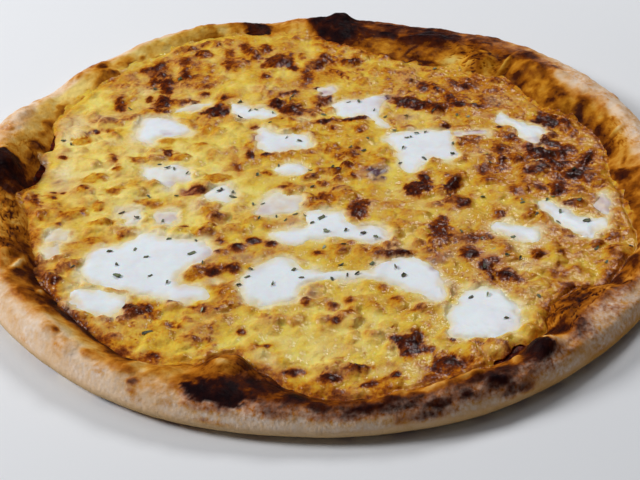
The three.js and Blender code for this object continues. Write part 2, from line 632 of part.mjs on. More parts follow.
// The cheese takes the points of the pools, so that its hollows follow them.
const poolPoints = poolOutlines.map((outline, k) => {
  const spacing = () => 0.7 * POOL_SPACING;
  return fillPoints(outline, insetPoints(outline), spacing, 1.3 * POOL_SPACING, 40 + k);
});
const sharedPoints = poolPoints.flat().map(([x, y]) => [x, y, 1.5]);
const wanted = [...sharedPoints, ...blisterPoints];
const cheeseSpacing = () => 0.8 * CHEESE_SPACING;
const cheesePoints = fillPoints(edgeRing(0), wanted, cheeseSpacing, CHEESE_SPACING, 11);
const cheeseLayer = solidLayer(cheesePoints, CRUST_STEPS, cheeseTop, edgeRing(1.1), CHEESE_BOTTOM);
let cheese = cheeseLayer.solid;

const liftedCheese = cheese.translate([0, 0, LAYER_GAP]);
const poolFloor = CHEESE_BOTTOM + LAYER_GAP + 0.15;
const pools = poolOutlines.map((outline, k) => {
  const layer = solidLayer(poolPoints[k], outline.length, poolTop(outline), outline, poolFloor);
  const solid = biggestPiece(layer.solid.subtract(liftedCheese));
  return { outline, surface: layer.surface, solid };
});

const random = makeRandom(7);
const placed = FLAKES.flatMap(settled);
for (const flake of placed) {
  const [x, y] = flake;
  const pool = pools.find(({ outline }) => insideOutline(outline, x, y));
  const wafer = flakeSolid(flake, (pool ?? cheeseLayer).surface, random);
  if (!wafer) continue;
  if (pool) pool.solid = pool.solid.add(wafer);
  else cheese = cheese.add(wafer);
}

// ---------------------------------------------------------------- the scene graph
function toGeometry(solid) {
  const { numProp, vertProperties, triVerts } = solid.getMesh();
  const positions = [];
  for (let k = 0; k < vertProperties.length; k += numProp) {
    positions.push(vertProperties[k], vertProperties[k + 1], vertProperties[k + 2]);
  }
  const geometry = new THREE.BufferGeometry();
  geometry.setAttribute('position', new THREE.Float32BufferAttribute(positions, 3));
  geometry.setIndex(Array.from(triVerts));
  geometry.computeVertexNormals();
  return geometry;
}

const finishes = {
  dough: { color: 0xc8955c, roughness: 0.85, metalness: 0 },
  sauce: { color: 0x6e1c0e, roughness: 0.4, metalness: 0 },
  cheese: { color: 0xd9b04c, roughness: 0.38, metalness: 0 },
  softCheese: { color: 0xe0e6e6, roughness: 0.32, metalness: 0 },
};

const pizza = new THREE.Group();

function place(name, solid, finish) {
  const material = new THREE.MeshStandardMaterial(finish);
  const mesh = new THREE.Mesh(toGeometry(solid), material);
  mesh.name = name;
  pizza.add(mesh);
}

place('dough', dough, finishes.dough);
place('tomato_sauce', sauce, finishes.sauce);
place('melted_cheese', cheese, finishes.cheese);
pools.forEach(({ solid }, k) => {
  place(`soft_cheese_${String(k + 1).padStart(2, '0')}`, solid, finishes.softCheese);
});

export default pizza;
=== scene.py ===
# %% [markdown]
# # Four cheese pizza
# A whole round pizza: dough with an uneven browned rim, tomato sauce, melted yellow cheese
# with baked blisters, white pools of soft cheese and flakes of dried oregano.
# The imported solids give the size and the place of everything. This script dresses them with
# finer meshes and with materials that are worked out from real sizes in millimetres.

# %% Load the solids and keep their box
import math
from functools import lru_cache

import bpy
import numpy as np
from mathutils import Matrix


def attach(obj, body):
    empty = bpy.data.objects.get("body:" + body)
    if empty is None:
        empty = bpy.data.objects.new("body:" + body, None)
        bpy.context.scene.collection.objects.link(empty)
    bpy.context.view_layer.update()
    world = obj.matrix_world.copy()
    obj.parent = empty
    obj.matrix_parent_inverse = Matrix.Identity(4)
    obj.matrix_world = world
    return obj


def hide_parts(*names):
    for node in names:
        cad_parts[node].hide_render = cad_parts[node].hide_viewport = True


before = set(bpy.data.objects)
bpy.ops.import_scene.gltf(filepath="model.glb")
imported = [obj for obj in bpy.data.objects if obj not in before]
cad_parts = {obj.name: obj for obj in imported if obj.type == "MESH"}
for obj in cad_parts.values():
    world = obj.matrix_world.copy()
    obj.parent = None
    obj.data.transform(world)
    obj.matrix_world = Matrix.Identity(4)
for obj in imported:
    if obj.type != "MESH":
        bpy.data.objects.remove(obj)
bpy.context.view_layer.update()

MM = 0.001
print("solids:", len(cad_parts))

# %% [markdown]
# ## The camera
# The picture was taken from in front and above, with the lens looking down at the middle of
# the cheese. The place and the lens come from fitting circles to the round shapes in it.

# %% Camera
CAMERA_PLACE = (0.33, -438.46, 298.94)   # mm
CAMERA_DIP = 36.666                      # degrees below the horizon
CAMERA_LENS = 67.5                       # mm
SENSOR_WIDTH = 36                        # mm

camera_data = bpy.data.cameras.new("camera")
camera_data.lens = CAMERA_LENS
camera_data.sensor_width = SENSOR_WIDTH
camera = bpy.data.objects.new("camera", camera_data)
camera.location = [v * MM for v in CAMERA_PLACE]
camera.rotation_euler = (math.radians(90 - CAMERA_DIP), 0, 0)
bpy.context.scene.collection.objects.link(camera)
bpy.context.scene.camera = camera
# Standard shows each colour as it is written here
bpy.context.scene.view_settings.view_transform = "Standard"
print("camera:", CAMERA_PLACE, "mm, dip", CAMERA_DIP, "degrees, lens", CAMERA_LENS, "mm")

# %% [markdown]
# ## Repeatable unevenness
# Food is uneven at every scale, so most of the shape and colour is driven by noise. Smooth
# noise gives slow swells and blotches, and cell noise gives round bubbles. Both come from
# seeded tables, so every run gives the same pizza.

# %% Noise
TABLE = 512                              # entries on each side of a random table
BLOB = 1.3                               # size of a cell, when a blob is to be 1 across
NOISE_START = (97.3, 61.7)               # cells, so that the middle is nowhere special
NOISE_GAIN = 1.9                         # brings the peaks near 1


def eased(t):
    """From 0 to 1, with a soft start and a soft end."""
    t = np.clip(t, 0, 1)
    return t * t * (3 - 2 * t)


def blend(a, b, t):
    """a where t is 0, b where t is 1."""
    return a * (1 - t) + b * t


@lru_cache(maxsize=40)
def slopes(seed):
    """A table of random directions, kept so that a second use costs nothing."""
    aim = np.random.default_rng(seed).uniform(0, math.tau, (TABLE, TABLE))
    return np.cos(aim), np.sin(aim)


def noise(x, y, size, seed):
    """Smooth noise from -1 to 1 that changes over about `size` mm."""
    aim_x, aim_y = slopes(seed)
    gx = x / (BLOB * size) + NOISE_START[0]
    gy = y / (BLOB * size) + NOISE_START[1]
    i = np.floor(gx).astype(int)
    j = np.floor(gy).astype(int)
    u = eased(gx - i)
    v = eased(gy - j)

    def slope_from(right, ahead):
        row, column = (j + ahead) % TABLE, (i + right) % TABLE
        return aim_x[row, column] * (gx - i - right) + aim_y[row, column] * (gy - j - ahead)

    low = blend(slope_from(0, 0), slope_from(1, 0), u)
    high = blend(slope_from(0, 1), slope_from(1, 1), u)
    return NOISE_GAIN * blend(low, high, v)


def span(values, digits=1):
    """The lowest and the highest of some values, to print."""
    return f"{float(np.min(values)):.{digits}f} to {float(np.max(values)):.{digits}f}"


print("noise:", span(noise(np.arange(999.0), np.zeros(999), 10, 1), 2))

# %% Mottling
LAYER_TURN = 0.9                         # radians from one layer to the next
FIRST_TURN = 0.4
LAYER_SHARE = 0.55                       # weight of a layer against the one before
LAYER_SEEDS = 17                         # from one layer's seed to the next
MOTTLE_GAIN = 1.4                        # brings the peaks back near 1


def mottle(x, y, size, seed, layers=3):
    """Layers of noise, each turned and half the size of the last."""
    total = 0
    weight = 0
    for k in range(layers):
        turn = LAYER_TURN * k + FIRST_TURN
        c, s = math.cos(turn), math.sin(turn)
        part = LAYER_SHARE ** k
        layer = noise(x * c - y * s, x * s + y * c, size / 2 ** k, seed + LAYER_SEEDS * k)
        total = total + part * layer
        weight += part
    return MOTTLE_GAIN * total / weight


print("mottling:", span(mottle(np.arange(999.0), np.zeros(999), 10, 1), 2))

# %% Cells
CELLS_START = (131.5, 77.5)              # cells, so that the middle is nowhere special
FAR = 9.0                                # cells, farther than any point can be


def cells(x, y, size, seed):
    """Distance to the nearest of many scattered points, in cells, and that point's number."""
    rng = np.random.default_rng(seed)
    px, py = rng.uniform(0.08, 0.92, (2, TABLE, TABLE))
    number = rng.random((TABLE, TABLE))
    gx = x / size + CELLS_START[0]
    gy = y / size + CELLS_START[1]
    ci = np.floor(gx).astype(int)
    cj = np.floor(gy).astype(int)
    best = np.full(gx.shape, FAR)
    value = np.zeros(gx.shape)
    for di in (-1, 0, 1):
        for dj in (-1, 0, 1):
            i = ci + di
            j = cj + dj
            spot = (j % TABLE, i % TABLE)
            d = np.hypot(i + px[spot] - gx, j + py[spot] - gy)
            nearer = d < best
            best = np.where(nearer, d, best)
            value = np.where(nearer, number[spot], value)
    return best, value


def wobbly_cells(x, y, size, seed, wobble, wobble_size):
    """Cells whose places are pushed about, so that bubbles round them aren't quite round."""
    return cells(x + wobble * mottle(x, y, wobble_size, seed + 1),
                 y + wobble * mottle(x, y, wobble_size, seed + 2), size, seed)


print("cells that a table holds:", TABLE ** 2)

# %% [markdown]
# ## Maps seen from above
# Shape and colour are first laid out on square maps of the whole pizza, like drawing on
# squared paper. A mesh then looks up its heights and colours there, whatever its own
# points are.

# %% Maps
CELL = 0.4                               # mm between two places of a map
HALF = 162.0                             # mm from the middle to the side of a map
ticks = np.arange(-HALF, HALF + CELL, CELL)
MAP_X, MAP_Y = np.meshgrid(ticks, ticks)


def look_up(a_map, x, y):
    """The value of a map at places given in mm."""
    gx = np.clip((x + HALF) / CELL, 0, a_map.shape[1] - 1.001)
    gy = np.clip((y + HALF) / CELL, 0, a_map.shape[0] - 1.001)
    i = gx.astype(int)
    j = gy.astype(int)
    low = blend(a_map[j, i], a_map[j, i + 1], gx - i)
    high = blend(a_map[j + 1, i], a_map[j + 1, i + 1], gx - i)
    return blend(low, high, gy - j)


def window(cx, cy, reach):
    """The part of the maps within `reach` mm of a place."""
    i = [int(round((cx + HALF + way * reach) / CELL)) for way in (-1, 1)]
    j = [int(round((cy + HALF + way * reach) / CELL)) for way in (-1, 1)]
    return slice(max(j[0], 0), j[1]), slice(max(i[0], 0), i[1])


def oval_depth(x, y, cx, cy, length, width, turn):
    """1 at the middle of an oval, 0 on its edge, less outside."""
    c, s = math.cos(math.radians(turn)), math.sin(math.radians(turn))
    u = ((x - cx) * c + (y - cy) * s) / (length / 2)
    v = ((y - cy) * c - (x - cx) * s) / (width / 2)
    return 1 - np.hypot(u, v)


print("maps:", MAP_X.shape)

# %% [markdown]
# ## The rim's plan and height
# The rim is wide at the left and back right, narrow at the front, and the cheese meets it
# along a wandering line. Its crest rises and falls. These are the same named sizes as the
# solid's.

# %% Sizes of the rim
OUTER_RADIUS = 155.0                     # mm, where the outer face bulges most
FOOT_RADIUS = 148.5                      # mm, where the crust leaves the floor
BASE_TOP = 3.8                           # mm, top of the dough under the sauce
CHEESE_LEVEL = 7.4                       # mm, top of the cheese on average

# Corners of the line along which the rim meets the cheese, in mm.
RIM_INNER_EDGE = [
    (127, 0), (128, 30), (122, 45), (107, 55), (103, 62), (90, 86), (80, 88), (72, 95),
    (70, 103), (57, 104), (40, 110), (28, 112), (12, 124), (-5, 133), (-20, 135), (-60, 128),
    (-95, 95), (-121, 52), (-124, 20), (-126, 0), (-127, -15), (-122, -30), (-118, -45),
    (-113, -58), (-110, -70), (-104, -80), (-95, -92), (-88, -100), (-78, -110), (-70, -117),
    (-60, -120), (-45, -120), (-30, -115), (-20, -125), (-10, -133), (0, -138), (10, -139),
    (20, -138), (30, -134), (40, -130), (50, -127), (60, -122), (70, -117), (76, -110),
    (84, -103), (85, -95), (89, -86), (98, -78), (112, -75), (117, -68), (122, -60),
    (128, -52), (129, -20),
]
# Direction in degrees, height of the crest in mm.
RIM_HEIGHTS = [
    (0, 15), (18, 17), (30, 17), (42, 16), (52, 14), (62, 11), (72, 9), (80, 10), (87, 12),
    (94, 10), (100, 8), (108, 11), (118, 12), (128, 11), (134, 9), (142, 10), (150, 7.5),
    (158, 11), (166, 14), (174, 17), (184, 16), (198, 15), (225, 15), (240, 14), (252, 13),
    (262, 12), (272, 12), (284, 13), (310, 14), (325, 13), (342, 14),
]


def round_the_clock(rows, degrees):
    """Eases from each row (degrees, value, ...) to the next, all the way round."""
    rows = sorted(rows)
    at = np.array([row[0] for row in rows], float)
    value = np.array([row[1:] for row in rows], float)
    degrees = np.mod(degrees, 360)
    k = np.searchsorted(at, degrees, side="right") % len(at)
    last = (k - 1) % len(at)
    along = np.mod(degrees - at[last], 360)
    span = np.mod(at[k] - at[last], 360)
    between = blend(value[last], value[k], eased(along / span)[..., None])
    return between.squeeze(-1) if value.shape[1] == 1 else between


def polar(points):
    """Direction in degrees and distance of places that are given as x and y."""
    return [(math.degrees(math.atan2(y, x)) % 360, math.hypot(x, y)) for x, y in points]


def inner_radius(degrees):
    """Distance from the middle at which the rim meets the cheese, in mm."""
    return round_the_clock(polar(RIM_INNER_EDGE), degrees)


MAP_R = np.hypot(MAP_X, MAP_Y)
MAP_DEG = np.degrees(np.arctan2(MAP_Y, MAP_X)) % 360
ALL_ROUND = np.arange(360.0)             # degrees
print("rim inner edge, mm:", span(inner_radius(ALL_ROUND)))

# %% [markdown]
# ## A slice through the crust
# One slice is a curve through a few stations: the foot, the outer face, the crest, the inner
# wall and the floor under the sauce. The cheese needs to know it too, because it climbs a
# little way up the wall and thins out there.

# %% Slices through the crust
# Bumps of the rim: middle, length, width, turn in degrees, rise in mm.
RIM_BUMPS = [
    (12, 147, 16, 12, 0, 3.0), (80, 98, 21, 19, 0, 4.2), (105, 85, 26, 12, -50, 2.4),
    (116, 76, 14, 8, -60, 1.2), (60, 122, 40, 12, -20, 1.6), (49, 108, 20, 8, -12, -2.4),
    (-137, 0, 34, 14, 90, 3.4), (-140, 45, 30, 14, 75, 1.8), (-105, 90, 16, 14, 40, 1.5),
    (-120, -62, 16, 6, 10, 1.6), (-30, -124, 32, 20, 0, 3.2), (80, -117, 17, 15, 0, 3.0),
    (91, -98, 13, 14, 30, 2.2), (54, -132, 30, 8, 18, 1.6), (126, -62, 26, 12, 60, 1.4),
    (141, -8, 34, 12, 90, 1.6), (-98, -108, 24, 12, -42, 1.6),
]
WALL_FOOT = CHEESE_LEVEL - 0.9           # mm, where the inner wall meets the cheese
LEAN = 1.3                               # mm that the outer face wanders in and out
CREST_SHARE = 0.58                       # of the way from the cheese to the outer face
# Numbers of the stations, counted from the underside over the crest to the middle
FOOT, LOWER_FACE, SHOULDER, CREST, WALL, EDGE, MIDDLE = 3, 5, 8, 9, 11, 12, 15


def slice_stations(degrees):
    """Radius, height and share of the relief at each station, a column for each angle."""
    around = np.radians(degrees)
    lean = LEAN * noise(40 * np.cos(around), 40 * np.sin(around), 17, 8)
    reach = OUTER_RADIUS - LEAN + lean
    inner = inner_radius(degrees)
    high = round_the_clock(RIM_HEIGHTS, degrees)
    crest = np.clip(blend(inner, reach, CREST_SHARE), inner + 5, reach - 7)
    stations = [
        (20, 0, 0), (138, 0, 0), (FOOT_RADIUS - 3, 0, 0), (FOOT_RADIUS + 0.5 * lean, 0.1, 0),
        (reach - 3.0, 0.9, 0.1), (reach - 0.7, 0.24 * high, 0.3), (reach, 0.46 * high, 0.4),
        (reach - 1.3, 0.7 * high, 0.6), (reach - 3.8, 0.9 * high, 0.85), (crest, high, 1),
        (blend(crest, inner, 0.36), blend(high, WALL_FOOT, 0.22), 1),
        (blend(crest, inner, 0.7), blend(high, WALL_FOOT, 0.6), 0.9),
        (inner, WALL_FOOT, 0.15), (inner - 2.4, BASE_TOP, 0), (inner - 6, BASE_TOP, 0),
        (inner - 12, BASE_TOP, 0),
    ]
    return [np.array([np.broadcast_to(s[k], degrees.shape) for s in stations])
            for k in range(3)]


def along_curve(values, t):
    """Values at a fractional station number, by a Catmull-Rom curve down each column."""
    last = len(values) - 1
    k = np.clip(np.floor(t).astype(int), 0, last - 1)
    f = t - k
    column = np.arange(values.shape[1])
    p = [values[np.clip(k + off, 0, last), column] for off in (-1, 0, 1, 2)]
    return 0.5 * (2 * p[1] + (p[2] - p[0]) * f + (2 * p[0] - 5 * p[1] + 4 * p[2] - p[3]) * f ** 2
                  + (3 * p[1] - p[0] - 3 * p[2] + p[3]) * f ** 3)


def rim_swell(x, y, ux, uy):
    """Bumps and slow unevenness of the rim, in mm."""
    swell = 0.5 * mottle(ux, uy, 12, 801)
    for bump in RIM_BUMPS:
        swell += bump[5] * eased(1.25 * oval_depth(x, y, *bump[:5]))
    return swell


def wall_height(x, y):
    """Height of the inner wall at a place, going on inwards as a steady slope."""
    degrees = np.degrees(np.arctan2(y, x)) % 360
    radii, levels = slice_stations(degrees)[:2]
    radius = np.hypot(x, y)
    level = levels[EDGE] + 0.9 * np.clip(radii[EDGE] - radius, 0, 9)
    for k in (EDGE, WALL, WALL - 1):
        along = np.clip((radius - radii[k]) / (radii[k - 1] - radii[k]), 0, 1)
        level = np.where(radius > radii[k], blend(levels[k], levels[k - 1], along), level)
    return level + eased((radius - radii[EDGE]) / 5) * rim_swell(x, y, x, y)


print("stations of a slice:", MIDDLE + 1)
print("crest, mm:", span(slice_stations(ALL_ROUND)[1][CREST]))

# %% [markdown]
# ## Where the cheese ends
# The cheese ran a little way up the crust and stopped in a wandering line. In a few places it
# drew back and left the sauce bare. Both are given by direction, and mottling makes the line
# uneven, which is quicker to shape than an outline drawn corner by corner.

# %% Where the cheese ends
# Where the cheese drew back: degrees round the pizza, half width in degrees, depth in mm.
BARE_SAUCE = [
    (167, 5, 3), (179, 6, 3.5), (61, 5, 3), (301, 5, 3), (69, 4, 2.5),
]


def degrees_apart(here, there):
    """The smaller angle between two directions."""
    return np.abs((here - there + 540) % 360 - 180)


def bare_at(degrees):
    """Depth in mm to which the sauce is bare in a direction."""
    bare = np.zeros_like(degrees)
    for at, half, depth in BARE_SAUCE:
        near = 1 - degrees_apart(degrees, at) / half
        bare = np.maximum(bare, depth * eased(1.6 * near))
    return bare


# How far the cheese climbed past the foot of the wall: degrees, mm.
CHEESE_CLIMB = [
    (0, 4.5), (12, 6), (24, 6), (32, 7), (44, 6), (50, 8), (58, 5), (66, 4.5), (74, 6), (80, 5),
    (90, 4), (94, 8), (98, 7), (103, 4), (108, 5), (113, 9), (120, 10), (128, 9), (136, 8),
    (142, 7), (150, 8), (158, 7), (164, 5), (172, 4), (180, 3.5), (190, 4.5), (197, 5),
    (205, 4.5), (215, 4), (228, 4), (236, 4.5), (241, 6), (244, 7.5), (247, 6), (252, 5),
    (258, 4), (310, 4), (330, 4.5), (350, 4.5),
]


def cheese_edge(degrees):
    """Distance of the cheese's edge from the middle, in mm."""
    around = np.radians(degrees)
    ring_x, ring_y = 130 * np.cos(around), 130 * np.sin(around)
    uneven = 0.9 * mottle(ring_x, ring_y, 6, 501) + 1.5 * mottle(ring_x, ring_y, 20, 502)
    climb = round_the_clock(CHEESE_CLIMB, degrees) * (1 - eased(bare_at(degrees) / 2))
    return inner_radius(degrees) + climb + uneven - bare_at(degrees)


print("cheese edge, mm:", span(cheese_edge(ALL_ROUND)))

# %% [markdown]
# ## How far the crust is baked
# The oven browned the crust unevenly: charred at some bubbles, cream on the floury face. One
# number, the degree of baking, goes from 0 for pale dough to 1 for black. It is laid down for
# each direction in five bands from the outer face to the cheese.

# %% Baking of the crust
# Degrees round the pizza, then how far it is baked on the outer face, the shoulder, the
# crest, the wall and the edge by the cheese, how golden the wall is, and how floury the face.
CRUST_BAKE = [
    (0, .10, .10, .25, .42, .40, .5, .9), (8, .08, .08, .12, .32, .50, .8, .9),
    (16, .06, .06, .08, .26, .56, .9, .9), (24, .05, .06, .10, .36, .50, 1, .9),
    (32, .05, .08, .16, .44, .46, 1, .8), (40, .08, .15, .60, .48, .50, .9, .5),
    (48, .15, .40, .52, .45, .40, 1, .3), (57, .20, .5, .68, .55, .20, 1, .2),
    (66, .30, .65, .82, .6, .45, .9, .1), (72, .30, .55, .60, .50, .50, 1, .1),
    (79, .30, .65, .75, .62, .50, 1, .1), (85, .60, .85, .95, .95, .7, .3, .1),
    (90, .50, .75, .85, .85, .6, .3, .1), (94, .2, .25, .28, .22, .2, .9, .2),
    (103, .4, .5, .54, .52, .42, .6, .2), (110, .15, .2, .28, .2, .2, .9, .3),
    (118, .1, .12, .15, .1, .15, 1, .4), (126, .08, .1, .12, .10, .12, 1, .4),
    (134, .08, .1, .10, .12, .18, .9, .5), (140, .1, .26, .34, .25, .4, .8, .5),
    (147, .05, .05, .06, .08, .2, 1, .7), (155, .05, .05, .06, .12, .26, .9, .8),
    (163, .06, .05, .10, .18, .32, .8, .8), (170, .08, .12, .22, .25, .30, .8, .5),
    (176, .12, .2, .24, .30, .45, .8, .4), (183, .2, .4, .60, .62, .62, .1, .3),
    (189, .12, .2, .36, .44, .42, .6, .5), (196, .1, .12, .26, .36, .42, .7, .6),
    (203, .1, .12, .30, .46, .52, .6, .7), (210, .08, .1, .36, .54, .62, .4, .7),
    (221, .06, .08, .42, .6, .7, .2, .8), (228, .06, .06, .16, .22, .7, .6, .8),
    (234, .06, .08, .14, .22, .65, .6, .8), (240, .06, .10, .30, .48, .6, .5, .7),
    (246, .1, .2, .20, .25, .4, .7, .7), (252, .1, .4, .55, .42, .45, .5, .8),
    (260, .07, .42, .62, .66, .6, .2, 1), (267, .06, .46, .64, .68, .6, .1, 1),
    (274, .08, .58, .62, .58, .6, .1, 1), (281, .12, .56, .54, .38, .45, .5, 1),
    (289, .16, .58, .54, .38, .5, .4, 1), (297, .18, .60, .60, .48, .5, .3, 1),
    # From 303 to 320 degrees the outer face is baked darker partly as painted shade, on the side
    # away from the left window
    (303, .24, .50, .74, .7, .6, .2, 1), (307, .22, .3, .25, .3, .4, .5, .9),
    (312, .30, .22, .44, .58, .55, .4, 1), (320, .28, .20, .42, .56, .55, .4, 1),
    (330, .1, .1, .34, .52, .6, .4, 1), (338, .1, .12, .3, .45, .4, .5, 1),
    (346, .1, .12, .32, .42, .4, .7, 1),
]
print("directions with a baking of their own:", len(CRUST_BAKE))

# %% [markdown]
# ## The pools of soft cheese
# Spoonfuls of white soft cheese melted into flat pools with wandering outlines. Each outline
# is a few corners joined by a smooth closed curve. The distance to the outline, on a map,
# then shapes the rounded edge of the pool and the milky ring round it.

# %% Outlines of the pools
POOLS = [
    [(-80, 50), (-70, 49), (-62, 42), (-60, 38), (-64, 34), (-72, 32), (-77, 26), (-83, 30),
     (-85, 36), (-84, 44)],
    [(-42, 62), (-37, 60), (-30, 58), (-22, 55), (-20, 52), (-23, 49), (-36, 49), (-41, 54)],
    [(-27, 40), (-22, 37), (-17, 35), (-8, 34), (-4, 28), (-5, 23), (-10, 22), (-22, 19),
     (-27, 22), (-29, 30)],
    [(7, 60), (9, 65), (20, 67), (27, 71), (32, 68), (30, 62), (28, 56), (31, 46), (34, 42),
     (30, 42), (25, 48), (20, 52), (10, 52)],
    [(30, 32), (36, 37), (45, 38), (58, 38), (61, 34), (62, 15), (55, 14), (50, 15), (46, 10),
     (44, 5), (40, 3), (36, 8), (35, 18), (33, 25)],
    [(86, 53), (90, 49), (95, 45), (102, 42), (105, 37), (101, 33), (100, 28), (97, 27),
     (93, 33), (92, 38), (88, 43), (84, 43), (83, 48)],
    [(-19, 4), (-17, 9), (-12, 11), (-6, 8), (-5, 4), (-9, 1.5), (-16, 1.5)],
    [(-78, 6), (-70, 7), (-60, 8), (-56, 0), (-57, -3), (-63, -4), (-66, -9), (-70, -4),
     (-76, -2)],
    [(-50, -15), (-45, -10), (-40, -7), (-36, -12), (-37, -17), (-40, -20), (-45, -18)],
    [(-4, -27), (3, -26), (9, -28), (12, -34), (16, -38), (24, -38), (28, -42), (27, -48),
     (18, -49), (12, -46), (5, -45), (-2, -47), (-10, -51), (-17, -48), (-20, -43),
     (-12, -40), (-5, -37), (-6, -32)],
    [(-93, -58), (-90, -53), (-82, -51), (-77, -47), (-72, -43), (-67, -43), (-63, -46),
     (-50, -47), (-46, -50), (-43, -57), (-50, -64), (-55, -70), (-54, -76), (-44, -79),
     (-44, -85), (-52, -87), (-60, -84), (-68, -81), (-78, -79), (-85, -76), (-91, -73),
     (-94, -67)],
    [(-95, -80), (-90, -78), (-82, -81), (-74, -84), (-76, -92), (-84, -94), (-90, -91),
     (-94, -86)],
    [(-29, -70), (-26, -66), (-20, -61), (-15, -59), (-10, -62), (-6, -66), (2, -66.5),
     (12, -67), (20, -66.5), (27, -61), (33, -59), (40, -60), (45, -66), (48, -74),
     (49, -82), (46, -86), (40, -83), (33, -79), (28, -75), (22, -72.5), (12, -72),
     (2, -73), (-5, -75), (-8, -79), (-10, -85), (-18, -88), (-24, -88), (-30, -82),
     (-31, -76)],
    [(57, -80), (62, -78), (67, -78), (72, -82), (75, -88), (75, -94), (74, -101), (66, -106),
     (60, -106), (52, -107), (48, -103), (49, -92), (52, -87)],
    [(71, -37), (75, -34.5), (82, -36), (90, -38), (91, -42), (88, -49), (84, -49), (79, -45),
     (72, -41)],
    [(94, -19), (98, -20), (104, -26), (109, -31), (119, -31), (119, -36), (115, -40),
     (112, -45), (107, -43), (101, -37), (97, -31), (93, -25)],
]
# Smaller ones, near enough to ovals: middle, length, width, turn in degrees.
OVAL_POOLS = [
    (-60, 59, 16, 4.6, 23), (4, 75, 8.5, 7, 0), (69, 36, 15, 4, 8), (-78, -31, 9, 10, 0),
    (-64.5, -31, 10, 9, 0), (-16.5, -21.5, 20, 15, 35), (120.5, -22, 13, 6.5, 80),
    (-107, -44, 9, 8, 0), (-108, -55, 6.5, 9, 20),
]
OVAL_CORNERS = 10
OVAL_WAVE = 0.2                          # share by which an oval's corners go in and out


def oval_outline(cx, cy, length, width, turn):
    """Corners of a wavy oval."""
    c, s = math.cos(math.radians(turn)), math.sin(math.radians(turn))
    corners = []
    for k in range(OVAL_CORNERS):
        wave = 1 + OVAL_WAVE * math.sin(2.3 * k + cx)
        u = wave * length / 2 * math.cos(math.tau * k / OVAL_CORNERS)
        v = wave * width / 2 * math.sin(math.tau * k / OVAL_CORNERS)
        corners.append((cx + u * c - v * s, cy + u * s + v * c))
    return corners


def smooth_closed(corners, steps=6):
    """A closed Catmull-Rom curve through the corners."""
    p = np.array(corners, float)
    before, after, later = np.roll(p, 1, 0), np.roll(p, -1, 0), np.roll(p, -2, 0)
    rows = []
    for k in range(steps):
        t = k / steps
        rows.append(0.5 * (2 * p + (after - before) * t
                           + (2 * before - 5 * p + 4 * after - later) * t ** 2
                           + (3 * p - before - 3 * after + later) * t ** 3))
    return np.stack(rows, 1).reshape(-1, 2)


pool_outlines = [smooth_closed(c) for c in POOLS]
pool_outlines += [smooth_closed(oval_outline(*p)) for p in OVAL_POOLS]
print("pools:", len(pool_outlines))

# %% Distance to the outlines
FRINGE = 1.5                             # mm that the outline wanders
FRINGE_SIZE = 5.0                        # mm from one bulge of the outline to the next
MARGIN = 12                              # mm round a pool for which the distance is known


def depth_in(outline, x, y):
    """Distance to a closed outline in mm, positive inside."""
    least = np.full(x.shape, 1e9)
    inside = np.zeros(x.shape, bool)
    for (ax, ay), (bx, by) in zip(outline, np.roll(outline, -1, 0)):
        dx, dy = bx - ax, by - ay
        t = np.clip(((x - ax) * dx + (y - ay) * dy) / (dx * dx + dy * dy + 1e-12), 0, 1)
        least = np.minimum(least, np.hypot(x - ax - t * dx, y - ay - t * dy))
        if ay != by:
            inside ^= ((ay > y) != (by > y)) & (x < (bx - ax) * (y - ay) / (by - ay) + ax)
    return np.where(inside, least, -least)


wander_x = FRINGE * mottle(MAP_X, MAP_Y, FRINGE_SIZE, 210)
wander_y = FRINGE * mottle(MAP_X, MAP_Y, FRINGE_SIZE, 230)
pool_depth = np.full(MAP_X.shape, -40.0)
own_depth = []
for outline in pool_outlines:
    middle = (outline.min(0) + outline.max(0)) / 2
    reach = np.ptp(outline, axis=0).max() / 2 + MARGIN
    win = window(middle[0], middle[1], reach)
    depth = depth_in(outline, MAP_X[win] + wander_x[win], MAP_Y[win] + wander_y[win])
    own_depth.append((win, depth))
    pool_depth[win] = np.maximum(pool_depth[win], depth)
print("the pools cover", round(float((pool_depth > 0).sum() * CELL ** 2)), "mm2")

# %% [markdown]
# ## Where the cheese baked
# Melted cheese rises in blisters, and their tops brown first: from yellow through gold, tan
# and red-brown to black. One number, the degree of baking, therefore drives most of the
# colour. The big blisters are named one by one. The small ones are drawn by seeded chance.

